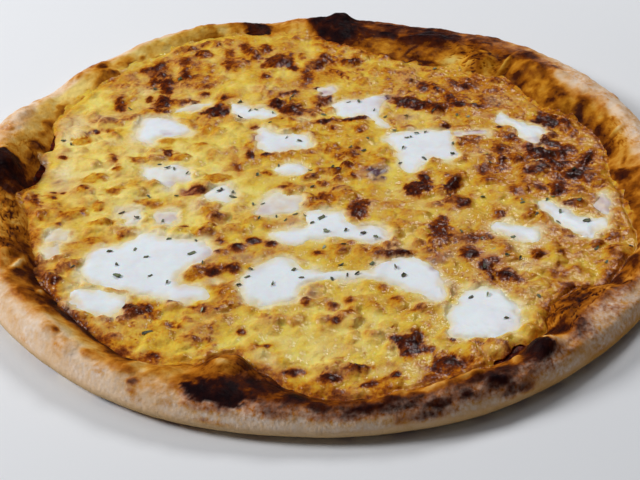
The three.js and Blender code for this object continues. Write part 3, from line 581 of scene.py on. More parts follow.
# %% Named blisters of the cheese
# Middle, length, width, turn in degrees, degree of baking, rise in mm.
BLISTERS = [
    (-49, 54, 12.5, 8.5, 0, 1, 1.0), (-75, 63, 8, 12, -10, 0.86, 0.8),
    (-75, 80, 8, 14, 10, 0.82, 1.0), (-82, 67, 4, 6, 0, 0.8, 0.3),
    (-81, 101, 6, 12, 10, 0.8, 0.7), (-82, 84, 4, 14, 0, 0.72, 0.4), (-66, 90, 3, 5, 0, 0.8, 0.2),
    (-95, 60, 5, 14, 10, 0.78, 0.9), (-55, 71, 5, 4, 0, 0.75, 0.3),
    (-57, 79, 11, 6, 10, 0.5, 0.6), (-61, 64, 8, 5, 0, 0.72, 0.5), (-46, 66, 4, 5, 0, 0.72, 0.3),
    (-103, 37, 3, 3, 0, 0.85, 0.1), (-97, 38, 5, 4, 20, 0.52, 0.3),
    (-68, 18, 5, 7.5, -15, 0.84, 0.7), (-92, 14, 3, 8, 20, 0.72, 0.3),
    (-89, 4, 6, 4.5, -20, 0.52, 0.4), (-115, 15, 4.5, 3, -20, 0.92, 0.4),
    (-114, -13, 3, 2, 0, 0.8, 0.2), (-110, -13, 2.5, 2, 0, 0.8, 0.1),
    (-113, -17, 2.4, 2, 0, 0.8, 0.1), (-54, 25, 6, 6, 0, 0.46, 0.4),
    (-53, -12, 12, 5, 10, 0.78, 0.9), (-103, -29, 14, 8, 25, 0.43, 1.2),
    (-102, -11, 5, 8, 0, 0.43, 0.9), (-93, -23, 6, 8, 10, 0.41, 0.8),
    (-72, -21, 11, 7, 0, 0.43, 0.9), (-90, -35, 12, 5, 5, 0.43, 0.7),
    (-92, -47, 8, 5, 0, 0.47, 0.6), (-46, -28, 6, 8, 0, 0.41, 0.8), (-56, -38, 4, 3, 0, 0.7, 0.3),
    (-81, -44, 5, 5.5, 0, 0.5, 0.6), (-102, -43, 3, 6, 0, 0.5, 0.3),
    (-108, -37, 3, 5, 0, 0.52, 0.3), (-20, 105, 14, 18, -25, 0.78, 1.2),
    (-13, 97, 5, 6, 0, 0.88, 0.5), (-27, 88, 4.5, 4, 0, 0.75, 0.3),
    (-6, 87, 4, 14, -10, 0.68, 0.8), (18, 105, 6.5, 4, 0, 0.84, 0.5),
    (-1, 77, 4, 3, 0, 0.85, 0.3), (3, 67, 6, 8, 20, 0.86, 0.5), (-21, 60, 6, 6, 0, 0.92, 0.7),
    (-14, 55, 12, 7, 0, 0.8, 0.9), (-16, 71, 4, 3, 0, 0.75, 0.2), (-12, 73, 3, 3, 0, 0.75, 0.2),
    (2, 46, 8, 3, 5, 0.92, 0.4), (17, 49, 15, 5, 12, 0.95, 0.6), (37, 67, 6, 5, 0, 0.8, 0.4),
    (46, 62, 25, 10, -18, 0.88, 1.1), (51, 79, 4, 8, 0, 0.84, 0.5),
    (67, 61, 5.5, 6, 0, 0.93, 0.6), (75, 60, 6, 4, 0, 0.86, 0.5), (66, 83, 4, 3, 0, 0.8, 0.2),
    (70, 79, 4, 3, 0, 0.8, 0.2), (59, 41, 4, 3.5, 0, 0.85, 0.3), (84, 41, 3, 2.5, 0, 0.9, 0.2),
    (107, 47, 9, 12, 10, 0.95, 1.1), (115, 45, 7, 7, 0, 0.86, 0.6), (82, 22, 5, 8, 0, 0.78, 0.6),
    (96, 20, 6, 5, 0, 0.96, 0.6), (103, 16, 5, 8, 0, 0.9, 0.7), (109, 18, 5, 7, 0, 0.95, 0.7),
    (107, 26, 14, 4.5, -25, 0.95, 0.6), (119, 12, 3.2, 17, -28, 0.93, 0.8),
    (-28, 31, 5.5, 5, 0, 0.7, 0.4), (-30, 40, 4.5, 4, 0, 0.7, 0.3),
    (-31, 16, 4.5, 9, 8, 0.84, 0.6), (-24, 16, 5, 3.5, 20, 0.88, 0.3),
    (-36, 6, 3, 7, 15, 0.72, 0.5), (6, 40, 2, 2, 0, 0.85, 0.1), (19, 38, 4, 3, 0, 0.7, 0.2),
    (17, 23, 3, 4, 0, 0.7, 0.2), (42, -10, 11, 12, 20, 0.9, 0.9), (46, -2, 5, 6, 0, 0.9, 0.6),
    (58, -7, 4.5, 9, -15, 0.84, 0.6), (62, -20, 5, 8.5, -15, 0.84, 0.7),
    (50, -38, 8, 18, -8, 0.84, 0.3), (84, -11, 3, 7, 20, 0.74, 0.3),
    (76, -29, 5, 6, 0, 0.74, 0.4), (103, -10, 6, 13, -20, 0.8, 0.9),
    (105, -21, 5, 4, 0, 0.75, 0.4), (64, -46, 11, 4, 15, 0.78, 0.7),
    (60, -57, 9, 7, 20, 0.88, 0.8), (-16, -9, 6, 3.5, 10, 0.68, 0.4),
    (-13, -6, 3, 2, 0, 0.72, 0.2), (4, -17, 6, 4.5, 0, 0.66, 0.5),
    (17, -24, 8, 15, -12, 0.78, 0.8), (16, -30, 5, 5, 0, 0.84, 0.4),
    (-27, -48, 7, 4.5, 0, 0.88, 0.4), (-19, -50, 5, 4, 0, 0.86, 0.3),
    (-33, -53, 6, 5, 0, 0.82, 0.5), (-40, -48, 4, 3, 0, 0.75, 0.3),
    (-41, -56, 4, 3, 0, 0.78, 0.3), (33, -57, 7, 3.5, 15, 0.74, 0.6),
    (-1, -56, 4, 3, 0, 0.74, 0.2), (-42, -69, 6, 4.5, 0, 0.92, 0.4),
    (-36, -67, 5, 3, 20, 0.88, 0.3), (-50, -71, 10, 6, 0, 0.5, 0.5),
    (-72, -89, 6, 5, 0, 0.92, 0.5), (-65, -91, 6, 5, 0, 0.88, 0.5), (-56, -86, 6, 4, 0, 0.9, 0.4),
    (-48, -90, 5, 2, -20, 0.8, 0.2), (-60, -117, 5, 4, 0, 0.85, 0.3),
    (6, -98, 5, 4, 0, 0.74, 0.4), (11, -93, 4.5, 4, 0, 0.72, 0.4), (5, -88, 4, 4, 0, 0.7, 0.3),
    (11, -86, 3, 3, 0, 0.72, 0.2), (-5, -86, 4, 6, 0, 0.66, 0.3),
    (-29, -104, 4.2, 4, 0, 0.8, 0.3), (36, -91, 3, 2, 0, 0.72, 0.1), (25, -77, 4, 3, 0, 0.7, 0.2),
    (30, -85, 4, 3, 0, 0.7, 0.2), (33, -112, 9, 14, 15, 0.82, 0.8), (36, -106, 5, 6, 0, 0.8, 0.4),
    (28, -107, 5, 4, 0, 0.76, 0.3), (39, -113, 5, 4, 0, 0.78, 0.3),
    (-20, -112, 6, 3, 15, 0.72, 0.4), (-8, -125, 6, 2, 5, 0.75, 0.2),
    (3, -129, 5, 4, 0, 0.8, 0.3), (49, -108, 2.6, 2.4, 0, 0.84, 0.2),
    (98, -76, 4, 4, 0, 0.85, 0.3), (66, -65, 6, 5, -30, 0.82, 0.5),
    (72, -70, 6, 5, -20, 0.84, 0.5), (77, -72, 6, 3.5, -30, 0.8, 0.4),
    (69, -61, 5, 3, -20, 0.78, 0.3), (87, -57, 4, 8, -20, 0.8, 0.5), (96, -9, 4, 5, 0, 0.72, 0.3),
    (113, 2, 5, 4, 0, 0.72, 0.3), (94, 3, 5, 4, 0, 0.7, 0.3), (72, 4, 4, 5, 0, 0.68, 0.3),
    (88, 30, 5, 4, 0, 0.72, 0.3), (-45, 100, 7, 13, 20, 0.7, 0.6),
    (-38, 118, 6, 12, 15, 0.72, 0.5), (-60, 112, 9, 9, 0, 0.72, 0.6),
    (-70, 118, 9, 6, 0, 0.74, 0.5), (-88, 96, 5, 8, 30, 0.7, 0.4),
    (-46, 112, 5, 10, 0, 0.66, 0.4), (-28, 118, 6, 9, 0, 0.72, 0.4), (-9, 110, 5, 8, 0, 0.5, 0.4),
    (-68, 103, 4, 6, 0, 0.74, 0.3), (-55, 96, 4, 8, 20, 0.52, 0.3),
    (4, -130, 9, 3, 10, 0.84, 0.4), (-7, -126, 8, 2.4, 8, 0.68, 0.2),
    (18, -132, 9, 3, 15, 0.8, 0.4), (23, -135, 5, 3, 0, 0.86, 0.3),
    (14, -124, 13, 2.4, 12, 0.72, 0.4), (27, -127, 4, 5, -30, 0.78, 0.3),
    (45, -121, 13, 9, 30, 0.84, 0.5), (40, -128, 7, 4, 20, 0.8, 0.3),
    (51, -121, 8, 5, 30, 0.86, 0.3), (-116, -29, 6, 9, 20, 0.5, 0.8),
    (-121, -20, 5, 8, 10, 0.72, 0.4), (-93, 66, 9, 7, 20, 0.42, 0.9),
    (-80, 54, 12, 8, 10, 0.4, 0.9), (-109, 29, 9, 7, 0, 0.4, 0.8), (-97, -2, 12, 7, 5, 0.4, 0.8),
    (-62, 15, 12, 8, 0, 0.42, 0.9), (-45, -2, 14, 8, 0, 0.42, 0.9), (-70, 28, 10, 6, 0, 0.4, 0.7),
    (-30, 24, 10, 9, 10, 0.4, 0.8), (-12, 18, 12, 8, 0, 0.4, 0.8), (-50, 38, 12, 7, 10, 0.4, 0.7),
    (-88, -12, 9, 6, 0, 0.42, 0.8), (-80, 12, 10, 6, 0, 0.38, 0.7), (-22, 2, 8, 6, 0, 0.42, 0.6),
]
print("named blisters:", len(BLISTERS))

# %% Paler, browner and rosier places
# Paler or creamier areas: middle, length, width, turn, how pale.
PALE_AREAS = [
    (-115, 40, 15, 25, 0, 0.5), (-113, 3, 10, 16, 0, 0.45), (-8, 47, 9, 7, 0, 0.6),
    (72, 18, 10, 14, 0, 0.5), (-52, -23, 7, 9, 0, 0.6), (42, 88, 18, 12, 0, 0.25),
    (-90, 30, 18, 8, 30, 0.35), (-60, 68, 18, 8, 10, 0.3), (70, 62, 10, 6, 0, 0.2),
    (30, -54, 10, 7, 0, 0.55), (-41, -75, 7, 6, 0, 0.8), (20, -20, 8, 6, 0, 0.4),
    (86, 64, 14, 8, -30, 0.4), (80, -52, 14, 9, -20, 0.45), (84, -64, 12, 8, 0, 0.35),
    (-84, 74, 10, 10, 0, 0.35), (-100, 48, 12, 8, 0, 0.35), (98, 8, 12, 10, 0, 0.25),
    (-30, 76, 20, 8, 0, 0.2), (-20, -120, 10, 8, 0, 0.3), (25, -125, 16, 6, 10, 0.25),
]
# Broad zones: middle, radius, shift of the degree of baking, shift of paleness.
ZONES = [
    (15, 92, 30, 0.08, -0.1), (-62, -8, 46, -0.14, 0.15), (2, -112, 34, -0.13, 0.08),
    (-36, -114, 22, -0.10, 0), (92, 10, 46, 0.11, -0.1), (112, 14, 24, 0.14, 0),
    (-72, 96, 36, 0.08, 0.05), (-60, -102, 24, 0.06, 0), (15, 8, 34, 0.02, -0.1),
    (20, -52, 26, 0.03, 0), (62, -60, 24, 0.12, 0.0), (100, -60, 24, 0.12, -0.1),
    (-105, -60, 22, 0.02, 0.1), (10, 22, 26, 0.0, -0.1),
    (74, 76, 30, 0.22, -0.1), (84, 42, 22, 0.12, -0.1), (-108, 10, 32, -0.14, 0.2),
    (-30, 128, 30, 0.05, 0.0), (118, -8, 20, 0.10, 0), (116, -38, 20, 0.12, -0.1),
    (40, 0, 24, -0.07, 0), (60, 10, 30, 0.06, -0.1), (-100, 50, 24, -0.06, 0.15),
]
# Rosy to purple staining beside the pools and elsewhere: middle, length, width, turn, strength.
ROSY_AREAS = [
    (-71, 36, 9, 5, -20, 0.5), (34, 68, 12, 9, 0, 0.8), (-66, -6, 8, 4, 0, 0.3),
    (25, 2, 15, 15, 0, 1.0), (-12, -35, 12, 6, 0, 0.5), (-64, -31, 9, 7, 0, 0.35),
    (69, 36, 16, 5, 8, 0.6), (120, -22, 10, 16, 0, 0.5), (3, 70, 9, 10, 0, 0.9),
    (-18, -22, 20, 14, 35, 0.35), (-2, -80, 10, 10, 0, 0.5), (48, -62, 8, 18, -20, 0.7),
    (52, -78, 6, 10, 0, 0.6), (70, -60, 22, 12, -20, 0.35), (-56, -12, 14, 6, 0, 0.7),
    (-112, -8, 10, 14, 0, 0.45), (-124, 6, 8, 22, 0, 0.7), (100, 30, 12, 8, 0, 0.5),
    (-45, -60, 10, 14, 0, 0.4), (-30, -60, 12, 8, 0, 0.5), (14, -30, 8, 8, 0, 0.4),
    (92, 22, 14, 10, 0, 0.4), (80, 50, 10, 10, 0, 0.35), (-80, 22, 12, 8, 0, 0.25),
    (40, 50, 20, 8, 0, 0.4), (20, 62, 24, 20, 0, 0.25), (-28, 32, 8, 12, 0, 0.35),
]


def zone_share(cx, cy, radius):
    """1 in the middle of a round zone of the maps, 0 from a quarter past its radius."""
    return eased(1.3 * (1 - np.hypot(MAP_X - cx, MAP_Y - cy) / (1.25 * radius)))


def ragged_oval(cx, cy, length, width, turn, rag, rag_size, seed):
    """The part of the maps round an oval, and the depth in it, with a ragged edge."""
    win = window(cx, cy, max(length, width))
    depth = oval_depth(MAP_X[win], MAP_Y[win], cx, cy, length, width, turn)
    return win, depth + rag * mottle(MAP_X[win], MAP_Y[win], rag_size, seed)


bake = 0.17 + 0.17 * mottle(MAP_X, MAP_Y, 15, 301) + 0.07 * mottle(MAP_X, MAP_Y, 5, 302)
pale = 0.08 + 0.20 * mottle(MAP_X, MAP_Y, 13, 303) + 0.12 * mottle(MAP_X, MAP_Y, 4, 304)
for cx, cy, radius, more_bake, more_pale in ZONES:
    share = zone_share(cx, cy, radius)
    bake += more_bake * share
    pale += more_pale * share
for *oval, strength in PALE_AREAS:
    win, depth = ragged_oval(*oval, 0.35, 4, 305)
    pale[win] += strength * eased(0.4 + 1.2 * depth)
rosy = np.zeros(MAP_X.shape)
for *oval, strength in ROSY_AREAS:
    win, depth = ragged_oval(*oval, 0.45, 5, 306)
    patchy = np.clip(0.9 + 0.7 * mottle(MAP_X[win], MAP_Y[win], 3.5, 307), 0.2, 1.3)
    rosy[win] = np.maximum(rosy[win], strength * patchy * eased(0.2 + 1.3 * depth))
print("baking away from the blisters:", round(float(bake.mean()), 2))

# %% [markdown]
# ## Blisters
# Between the named blisters the cheese is full of small ones. Cell noise in three sizes gives
# domes of 4 to 11 mm, each with its own height. Their crowns brown, and the foot of some is
# darkened with mottled browning and with painted shade on its front right side, away from the
# lights. The named ones then go on top, each as a mound with a ragged patch of its own baking.

# %% Small blisters and the height of the cheese
SWELL = 0.55                             # mm that the sheet rises and falls
# Domes: size of a cell in mm, rise in mm, browning of the crown, browning and painted shade round
# the foot.
DOMES = ((11.0, 1.5, 0.17, 0.18, 411), (6.8, 1.1, 0.18, 0.21, 412),
         (4.0, 0.5, 0.11, 0.14, 413))
FLAT_SHARE = 0.38                        # of the cells have no dome
DOME_WOBBLE = (1.8, 6)                   # mm that a dome is bent by, and over how many mm
FOOT_AT, FOOT_WIDTH = 0.93, 0.13         # of a dome's radius

height = CHEESE_LEVEL + SWELL * (noise(MAP_X, MAP_Y, 34, 401)
                                 + 0.45 * noise(MAP_X, MAP_Y, 15, 402))
near_pool = eased((pool_depth + 2.0) / 2.5)
lively = np.clip(0.8 + 0.8 * mottle(MAP_X, MAP_Y, 20, 403), 0.2, 1.4) * (1 - near_pool)
for size, rise, browning, foot_bake_and_shade, seed in DOMES:
    distance, number = wobbly_cells(MAP_X, MAP_Y, size, seed, *DOME_WOBBLE)
    out = distance / (0.24 + 0.36 * number)
    dome = np.clip(1 - out ** 2, 0, 1) ** 0.8 * (number > FLAT_SHARE)
    height += rise * lively * dome * (0.4 + 0.6 * number)
    crown = eased(2.6 * dome) * eased(2.5 * (number - 0.3))
    toast = np.clip(0.7 + 0.8 * mottle(MAP_X, MAP_Y, 14, seed + 3), 0, 1.4)
    foot = np.exp(-((out - FOOT_AT) / FOOT_WIDTH) ** 2) * (number > FLAT_SHARE)
    # The foot's darkening is mottled and strongest on the front right side of each dome, away from
    # the lights: painted shade
    slope_y, slope_x = np.gradient(dome)
    steep = np.hypot(slope_x, slope_y) + 1e-6
    shaded_side = eased(0.5 + 0.6 * (slope_y - 0.5 * slope_x) / steep)
    foot_scorch_and_shade = np.clip(0.1 + 1.5 * mottle(MAP_X, MAP_Y, 6, seed + 4), 0, 1) * shaded_side
    bake += lively * (browning * toast * crown + foot_bake_and_shade * foot * foot_scorch_and_shade)
fleck = eased((mottle(MAP_X, MAP_Y, 2.2, 431, 2) - 0.42) / 0.25) * eased((bake - 0.2) / 0.2)
bake += 0.11 * fleck * (1 - near_pool)
curdle = 0.20 * mottle(MAP_X, MAP_Y, 3.6, 404) + 0.09 * mottle(MAP_X, MAP_Y, 1.6, 405)
height += curdle * (1 - 0.8 * near_pool)
print("cheese height with its small blisters, mm:", span(height))

# %% The named blisters on the maps
def mound(depth):
    """Share of a bump's rise, from the depth inside its oval."""
    return eased(1.25 * np.clip(depth, -0.2, 1) + 0.1)


ragged = 0.34 * mottle(MAP_X, MAP_Y, 4.2, 421) + 0.22 * mottle(MAP_X, MAP_Y, 1.7, 422, 2)
for cx, cy, length, width, turn, level, rise in BLISTERS:
    win = window(cx, cy, 0.9 * max(length, width) + 3)
    depth = oval_depth(MAP_X[win], MAP_Y[win], cx, cy, length, width, turn)
    small = min(length, width) / 2
    rough = depth + ragged[win] * np.clip(small / 3.0, 0.4, 1.0)
    share = eased(0.35 + rough * small / 0.9)
    tan = eased(0.9 + rough * small / 3.0)
    inner = (0.92 * level - 0.04 + 0.20 * mottle(MAP_X[win], MAP_Y[win], 2.6, 423)
             + 0.08 * np.clip(depth, 0, 1))
    bake[win] += tan * 0.18 * (level > 0.6)
    bake[win] = blend(bake[win], np.maximum(bake[win], inner), share)
    height[win] += rise * mound(depth) * (1 - 0.7 * near_pool[win])
    pale[win] *= 1 - share
print("burnt or dark brown share of the cheese:", round(float((bake > 0.6).mean()), 3))

# %% [markdown]
# ## Streaks, the cheese by the rim and the milky rings
# Where one layer of cheese folded over another the edge burnt to a thin line. Those lines are
# the places where a stretched mottling passes through zero. By the rim the cheese is baked
# about as far as the wall it lies on, and round a pool it is milky and less baked.

# %% Streaks
# Middle, radius, strength.
STREAK_ZONES = [
    (100, 12, 34, 1.0), (15, 92, 34, 0.5), (38, -112, 24, 0.9), (-60, -105, 26, 0.9),
    (70, 70, 30, 0.6), (-100, -20, 24, 0.6), (60, -58, 26, 0.8), (-80, 88, 30, 0.6),
    (45, -10, 22, 0.6), (-45, -52, 20, 0.5), (10, 22, 30, 0.4), (115, -55, 24, 0.7),
    (-20, 60, 26, 0.5), (0, -128, 20, 0.8), (20, -50, 24, 0.4),
]
STREAK_WIDTH = 0.075                     # share of the mottling's range
STREAK_DEPTH = 0.15                      # mm

streaky = np.zeros(MAP_X.shape)
for cx, cy, radius, strength in STREAK_ZONES:
    streaky = np.maximum(streaky, strength * zone_share(cx, cy, radius))
thread = np.abs(mottle(MAP_X, 1.6 * MAP_Y + 0.5 * MAP_X, 8, 451, 2))
often = eased(1.4 * streaky + 1.1 * mottle(MAP_X, MAP_Y, 9, 452) - 0.35)
line = eased(1 - thread / STREAK_WIDTH) * often * (1 - near_pool)
bake += 0.38 * line
height -= STREAK_DEPTH * line
print("share of the maps under a streak:", round(float((line > 0.5).mean()), 4))

# %% The cheese by the rim
edge_level = round_the_clock(CRUST_BAKE, MAP_DEG)[..., 4]
by_rim = MAP_R - inner_radius(MAP_DEG) + 6.5 + 2.5 * mottle(MAP_X, MAP_Y, 6, 461)
by_rim = eased(by_rim / 6.5)
bake = blend(bake, edge_level + 0.16 * mottle(MAP_X, MAP_Y, 3.5, 462), 0.85 * by_rim)
border = MAP_R - cheese_edge(MAP_DEG) + 4.0 + 2.0 * mottle(MAP_X, MAP_Y, 5, 463)
border = eased(border / 3.5)
border *= eased(0.4 + 1.3 * mottle(MAP_X, MAP_Y, 9, 465)) * eased((edge_level - 0.2) / 0.2)
bake = np.maximum(bake, (0.56 + 0.12 * mottle(MAP_X, MAP_Y, 3, 464)) * border)
pale = pale * (1 - 0.7 * by_rim)
print("baking of the edge:", span(edge_level, 2))

# %% The milky rings and the beds of the pools
POOL_DIP = 0.75                          # mm that a pool is sunk in the cheese
DIP_WIDTH = 3.1                          # mm from the outline to the bed's full depth

halo = 3.2 + 3.2 * np.clip(mottle(MAP_X, MAP_Y, 9, 441) + 0.3, 0, 1.4)
halo = eased(1 + pool_depth / halo)
milk = 0.6 + 1.1 * mottle(MAP_X, MAP_Y, 7, 443) + 0.4 * eased(1 + pool_depth / 1.5)
halo *= np.clip(milk, 0, 1.2)
pale += 1.1 * halo
bake -= 0.22 * halo * (bake < 0.6)
bake *= 1 - 0.6 * eased((rosy - 0.5) / 0.4)
rosy = rosy + 0.22 * halo * np.clip(0.4 + mottle(MAP_X, MAP_Y, 11, 442), 0, 1)
rosy = np.clip(rosy, 0, 1)
bake = np.clip(bake, 0, 1.05)
pale = np.clip(pale, 0, 1)
height -= POOL_DIP * eased(pool_depth / DIP_WIDTH)
print("cheese height with the beds of the pools, mm:", span(height))

# %% [markdown]
# ## Materials
# Each finish reads colour numbers that the script leaves on the mesh as an attribute, adds
# grain finer than the mesh in Object coordinates, and turns the degree of baking into a
# colour with a ramp. Colours are written as screen values and made linear by one function.

# %% Colours and nodes
def linear(colour):
    """A screen colour such as "#ffffff" as the linear numbers that a node takes."""
    parts = [int(colour[k:k + 2], 16) / 255 for k in (1, 3, 5)]
    return [p / 12.92 if p <= 0.04045 else ((p + 0.055) / 1.055) ** 2.4 for p in parts] + [1.0]


def add_node(material, kind, inputs=None, stops=None, **settings):
    """Adds a node with its settings, its sockets' values or links, and a ramp's stops.
    Gives the node's outputs."""
    node = material.node_tree.nodes.new("ShaderNode" + kind)
    for name, value in settings.items():
        setattr(node, name, value)
    if stops:
        ramp = node.color_ramp
        while len(ramp.elements) < len(stops):
            ramp.elements.new(0.5)
        for element, (position, colour) in zip(ramp.elements, stops):
            element.position = position
            element.color = linear(colour)
    for name, value in (inputs or {}).items():
        if isinstance(value, bpy.types.NodeSocket):
            material.node_tree.links.new(value, node.inputs[name])
        else:
            node.inputs[name].default_value = value
    return node.outputs


def new_material(name):
    """A material without nodes, to be filled."""
    material = bpy.data.materials.new(name)
    material.use_nodes = True
    material.node_tree.nodes.clear()
    return material


grey = linear("#808080")
print("middle grey as a linear number:", round(grey[0], 3))

# %% [markdown]
# ## Grain and shine
# Two steps come back in every finish. Grain is a noise pattern whose scale is worked out from
# the size of its blobs in mm. The shine is a principled shader with the grain as its bump.
# A Mix node for colours takes its share at socket 0, its two colours at 6 and 7, and gives
# the result at 2.

# %% Grain and shine
BLOBS_PER_CELL = 0.6                     # a blob of this noise is 0.6 of its cell across


def grain(material, size_mm, detail=3.0):
    """A pattern from 0 to 1 with blobs about `size_mm` across, in Object coordinates."""
    place = add_node(material, "TexCoord")["Object"]
    return add_node(material, "TexNoise", {
        "Vector": place, "Scale": BLOBS_PER_CELL / (size_mm * MM), "Detail": detail,
        "Roughness": 0.55})[0]


def finish_surface(material, inputs, bump=None, depth_mm=0.1):
    """The shader with its values or links, on a bump that is `depth_mm` deep."""
    sockets = dict(inputs)
    if bump is not None:
        sockets["Normal"] = add_node(material, "Bump", {
            "Height": bump, "Strength": 1.0, "Distance": depth_mm * MM})[0]
    shader = add_node(material, "BsdfPrincipled", sockets)[0]
    add_node(material, "OutputMaterial", {"Surface": shader})
    print(material.name, "nodes:", len(material.node_tree.nodes))


CREAM = "#ecdcae"                        # milk and fat of the cheese, where it is thin

# %% [markdown]
# ## Finish of the melted cheese
# Melted cheese is a soft, oily skin over a stretchy mass. It lets some light in, so it has
# subsurface light, which tints its shaded parts orange. Baking turns it from butter yellow to
# gold, tan, red-brown and black, blotch by blotch. Blotches of 0.9 and 3 mm are about what
# the eye finds on it. Small wrinkles, 1 to 3 mm apart, break its shine into glints.

# %% Melted cheese
melted = new_material("melted_cheese_baked")
fields = add_node(melted, "SeparateColor", {
    0: add_node(melted, "Attribute", attribute_name="cheese")["Color"]})
browning, milkiness, whey = fields[0], fields[1], fields[2]
fine = grain(melted, 0.9, detail=4.0)
coarse = grain(melted, 3.0)
# Each grain lies about 0.5, so 0.625 less than their sum lies about 0
blotch = add_node(melted, "Math", {0: coarse, 1: 0.55, 2: -0.625},
                  operation="MULTIPLY_ADD")[0]
blotch = add_node(melted, "Math", {0: fine, 1: 0.70, 2: blotch}, operation="MULTIPLY_ADD")[0]
# Soft yellow cheese is smooth in colour. The more it is baked, the blotchier it gets.
blotchy = add_node(melted, "Math", {0: browning, 1: 1.5, 2: 0.06},
                   operation="MULTIPLY_ADD", use_clamp=True)[0]
baked = add_node(melted, "Math", {0: blotch, 1: blotchy, 2: browning},
                 operation="MULTIPLY_ADD")[0]
toasted = add_node(melted, "ValToRGB", {0: baked}, stops=[
    (0.00, "#ecd666"), (0.14, "#e1bc46"), (0.30, "#cf982c"), (0.42, "#c07a1c"),
    (0.50, "#a45a10"), (0.58, "#86400a"), (0.70, "#622606"), (0.86, "#421609"),
    (1.00, "#2c0e08")])[0]
# Milky where it is thin, as long as it isn't baked
milky = add_node(melted, "Math", {0: coarse, 1: 0.5, 2: -0.25}, operation="MULTIPLY_ADD")[0]
milky = add_node(melted, "Math", {0: milky, 1: milkiness}, operation="ADD")[0]
fresh = add_node(melted, "Math", {0: baked, 1: -1.3, 2: 1.0},
                 operation="MULTIPLY_ADD", use_clamp=True)[0]
milky = add_node(melted, "Math", {0: milky, 1: fresh}, operation="MULTIPLY", use_clamp=True)[0]
creamed = add_node(melted, "Mix", {0: milky, 6: toasted, 7: linear(CREAM)},
                   data_type="RGBA")[2]
# Whey with a little sauce in it: faintly rosy, and purple where there is much of it
rosy_colour = add_node(melted, "ValToRGB", {0: whey}, stops=[
    (0.15, "#c99688"), (0.50, "#98646a"), (0.90, "#583442")])[0]
unburnt = add_node(melted, "Math", {0: baked, 1: -2.0, 2: 1.5},
                   operation="MULTIPLY_ADD", use_clamp=True)[0]
stain = add_node(melted, "Math", {0: whey, 1: unburnt}, operation="MULTIPLY",
                 use_clamp=True)[0]
stained = add_node(melted, "Mix", {0: stain, 6: creamed, 7: rosy_colour},
                   data_type="RGBA")[2]
# Oil makes the yellow cheese glossy, burnt skin a little duller
gloss = add_node(melted, "Math", {0: coarse, 1: 0.20, 2: 0.05}, operation="MULTIPLY_ADD")[0]
gloss = add_node(melted, "Math", {0: baked, 1: 0.16, 2: gloss}, operation="MULTIPLY_ADD")[0]
wrinkle = grain(melted, 1.0, detail=1.0)
wide_wrinkle = grain(melted, 3.0, detail=1.0)
wrinkled = add_node(melted, "Math", {0: wide_wrinkle, 1: 1.1, 2: wrinkle},
                    operation="MULTIPLY_ADD")[0]
finish_surface(melted, {
    "Base Color": stained, "Roughness": gloss, "IOR": 1.42, "Specular IOR Level": 0.15,
    "Subsurface Weight": 0.35, "Subsurface Radius": (1.0, 0.45, 0.12),
    "Subsurface Scale": 1.2 * MM}, bump=wrinkled, depth_mm=0.4)

# %% [markdown]
# ## Finish of the soft cheese
# Soft white cheese is wet curd, and the milk in it scatters light, so it looks bluish white
# beside the yellow one and has no hard shadows. It turns cream where it is thin and rosy where
# sauce soaked in. Its curd is about 1.4 mm, and shows as a low bump under a dull wet shine.

# %% White soft cheese
soft = new_material("soft_white_cheese")
fields = add_node(soft, "SeparateColor", {
    0: add_node(soft, "Attribute", attribute_name="cheese")["Color"]})
milkiness, whey = fields[1], fields[2]
curd = grain(soft, 1.4)
creamy = add_node(soft, "Math", {0: curd, 1: 0.3, 2: -0.15}, operation="MULTIPLY_ADD")[0]
creamy = add_node(soft, "Math", {0: creamy, 1: milkiness}, operation="ADD",
                  use_clamp=True)[0]
white = add_node(soft, "Mix", {0: creamy, 6: linear("#ecf3f9"), 7: linear(CREAM)},
                 data_type="RGBA")[2]
stain = add_node(soft, "Math", {0: whey, 1: 0.9}, operation="MULTIPLY", use_clamp=True)[0]
white = add_node(soft, "Mix", {0: stain, 6: white, 7: linear("#bc9cae")},
                 data_type="RGBA")[2]
finish_surface(soft, {
    "Base Color": white, "Roughness": 0.36, "IOR": 1.42, "Specular IOR Level": 0.25,
    "Subsurface Weight": 0.2, "Subsurface Scale": 2.0 * MM}, bump=curd, depth_mm=0.12)

# %% [markdown]
# ## Finish of the sauce
# Tomato sauce that stood open in the oven dries to a dark red crust over pulp. Its lumps are
# about 2 mm, and the ramp goes from the nearly black hollows to the red-brown lumps.

# %% Tomato sauce
tomato = new_material("cooked_tomato_sauce")
pulp = grain(tomato, 2.0, detail=4.0)
red = add_node(tomato, "ValToRGB", {0: pulp}, stops=[
    (0.3, "#1c0604"), (0.5, "#4a120a"), (0.7, "#7c2c14")])[0]
finish_surface(tomato, {"Base Color": red, "Roughness": 0.35, "IOR": 1.4,
                        "Specular IOR Level": 0.06}, bump=pulp, depth_mm=0.6)

# %% [markdown]
# ## Finish of the dough
# Baked wheat dough has a dry, matt skin, cream where it stayed pale, then tan, brown and
# black. Where oil and cheese ran over it, it is golden. Flour lies on its outer face in
# specks of about 1 mm, which is coarser than real flour, so that they show. The underside is
# toasted in spots of about 7 mm, where it touched the hot stone.

# %% Baked dough
crust = new_material("baked_pizza_dough")
numbers = add_node(crust, "Attribute", attribute_name="crust")
fields = add_node(crust, "SeparateColor", {0: numbers["Color"]})
browning, floury, oily, unbaked_and_shaded = fields[0], fields[1], fields[2], numbers["Alpha"]
fine = grain(crust, 0.9)
coarse = grain(crust, 3.4, detail=4.0)
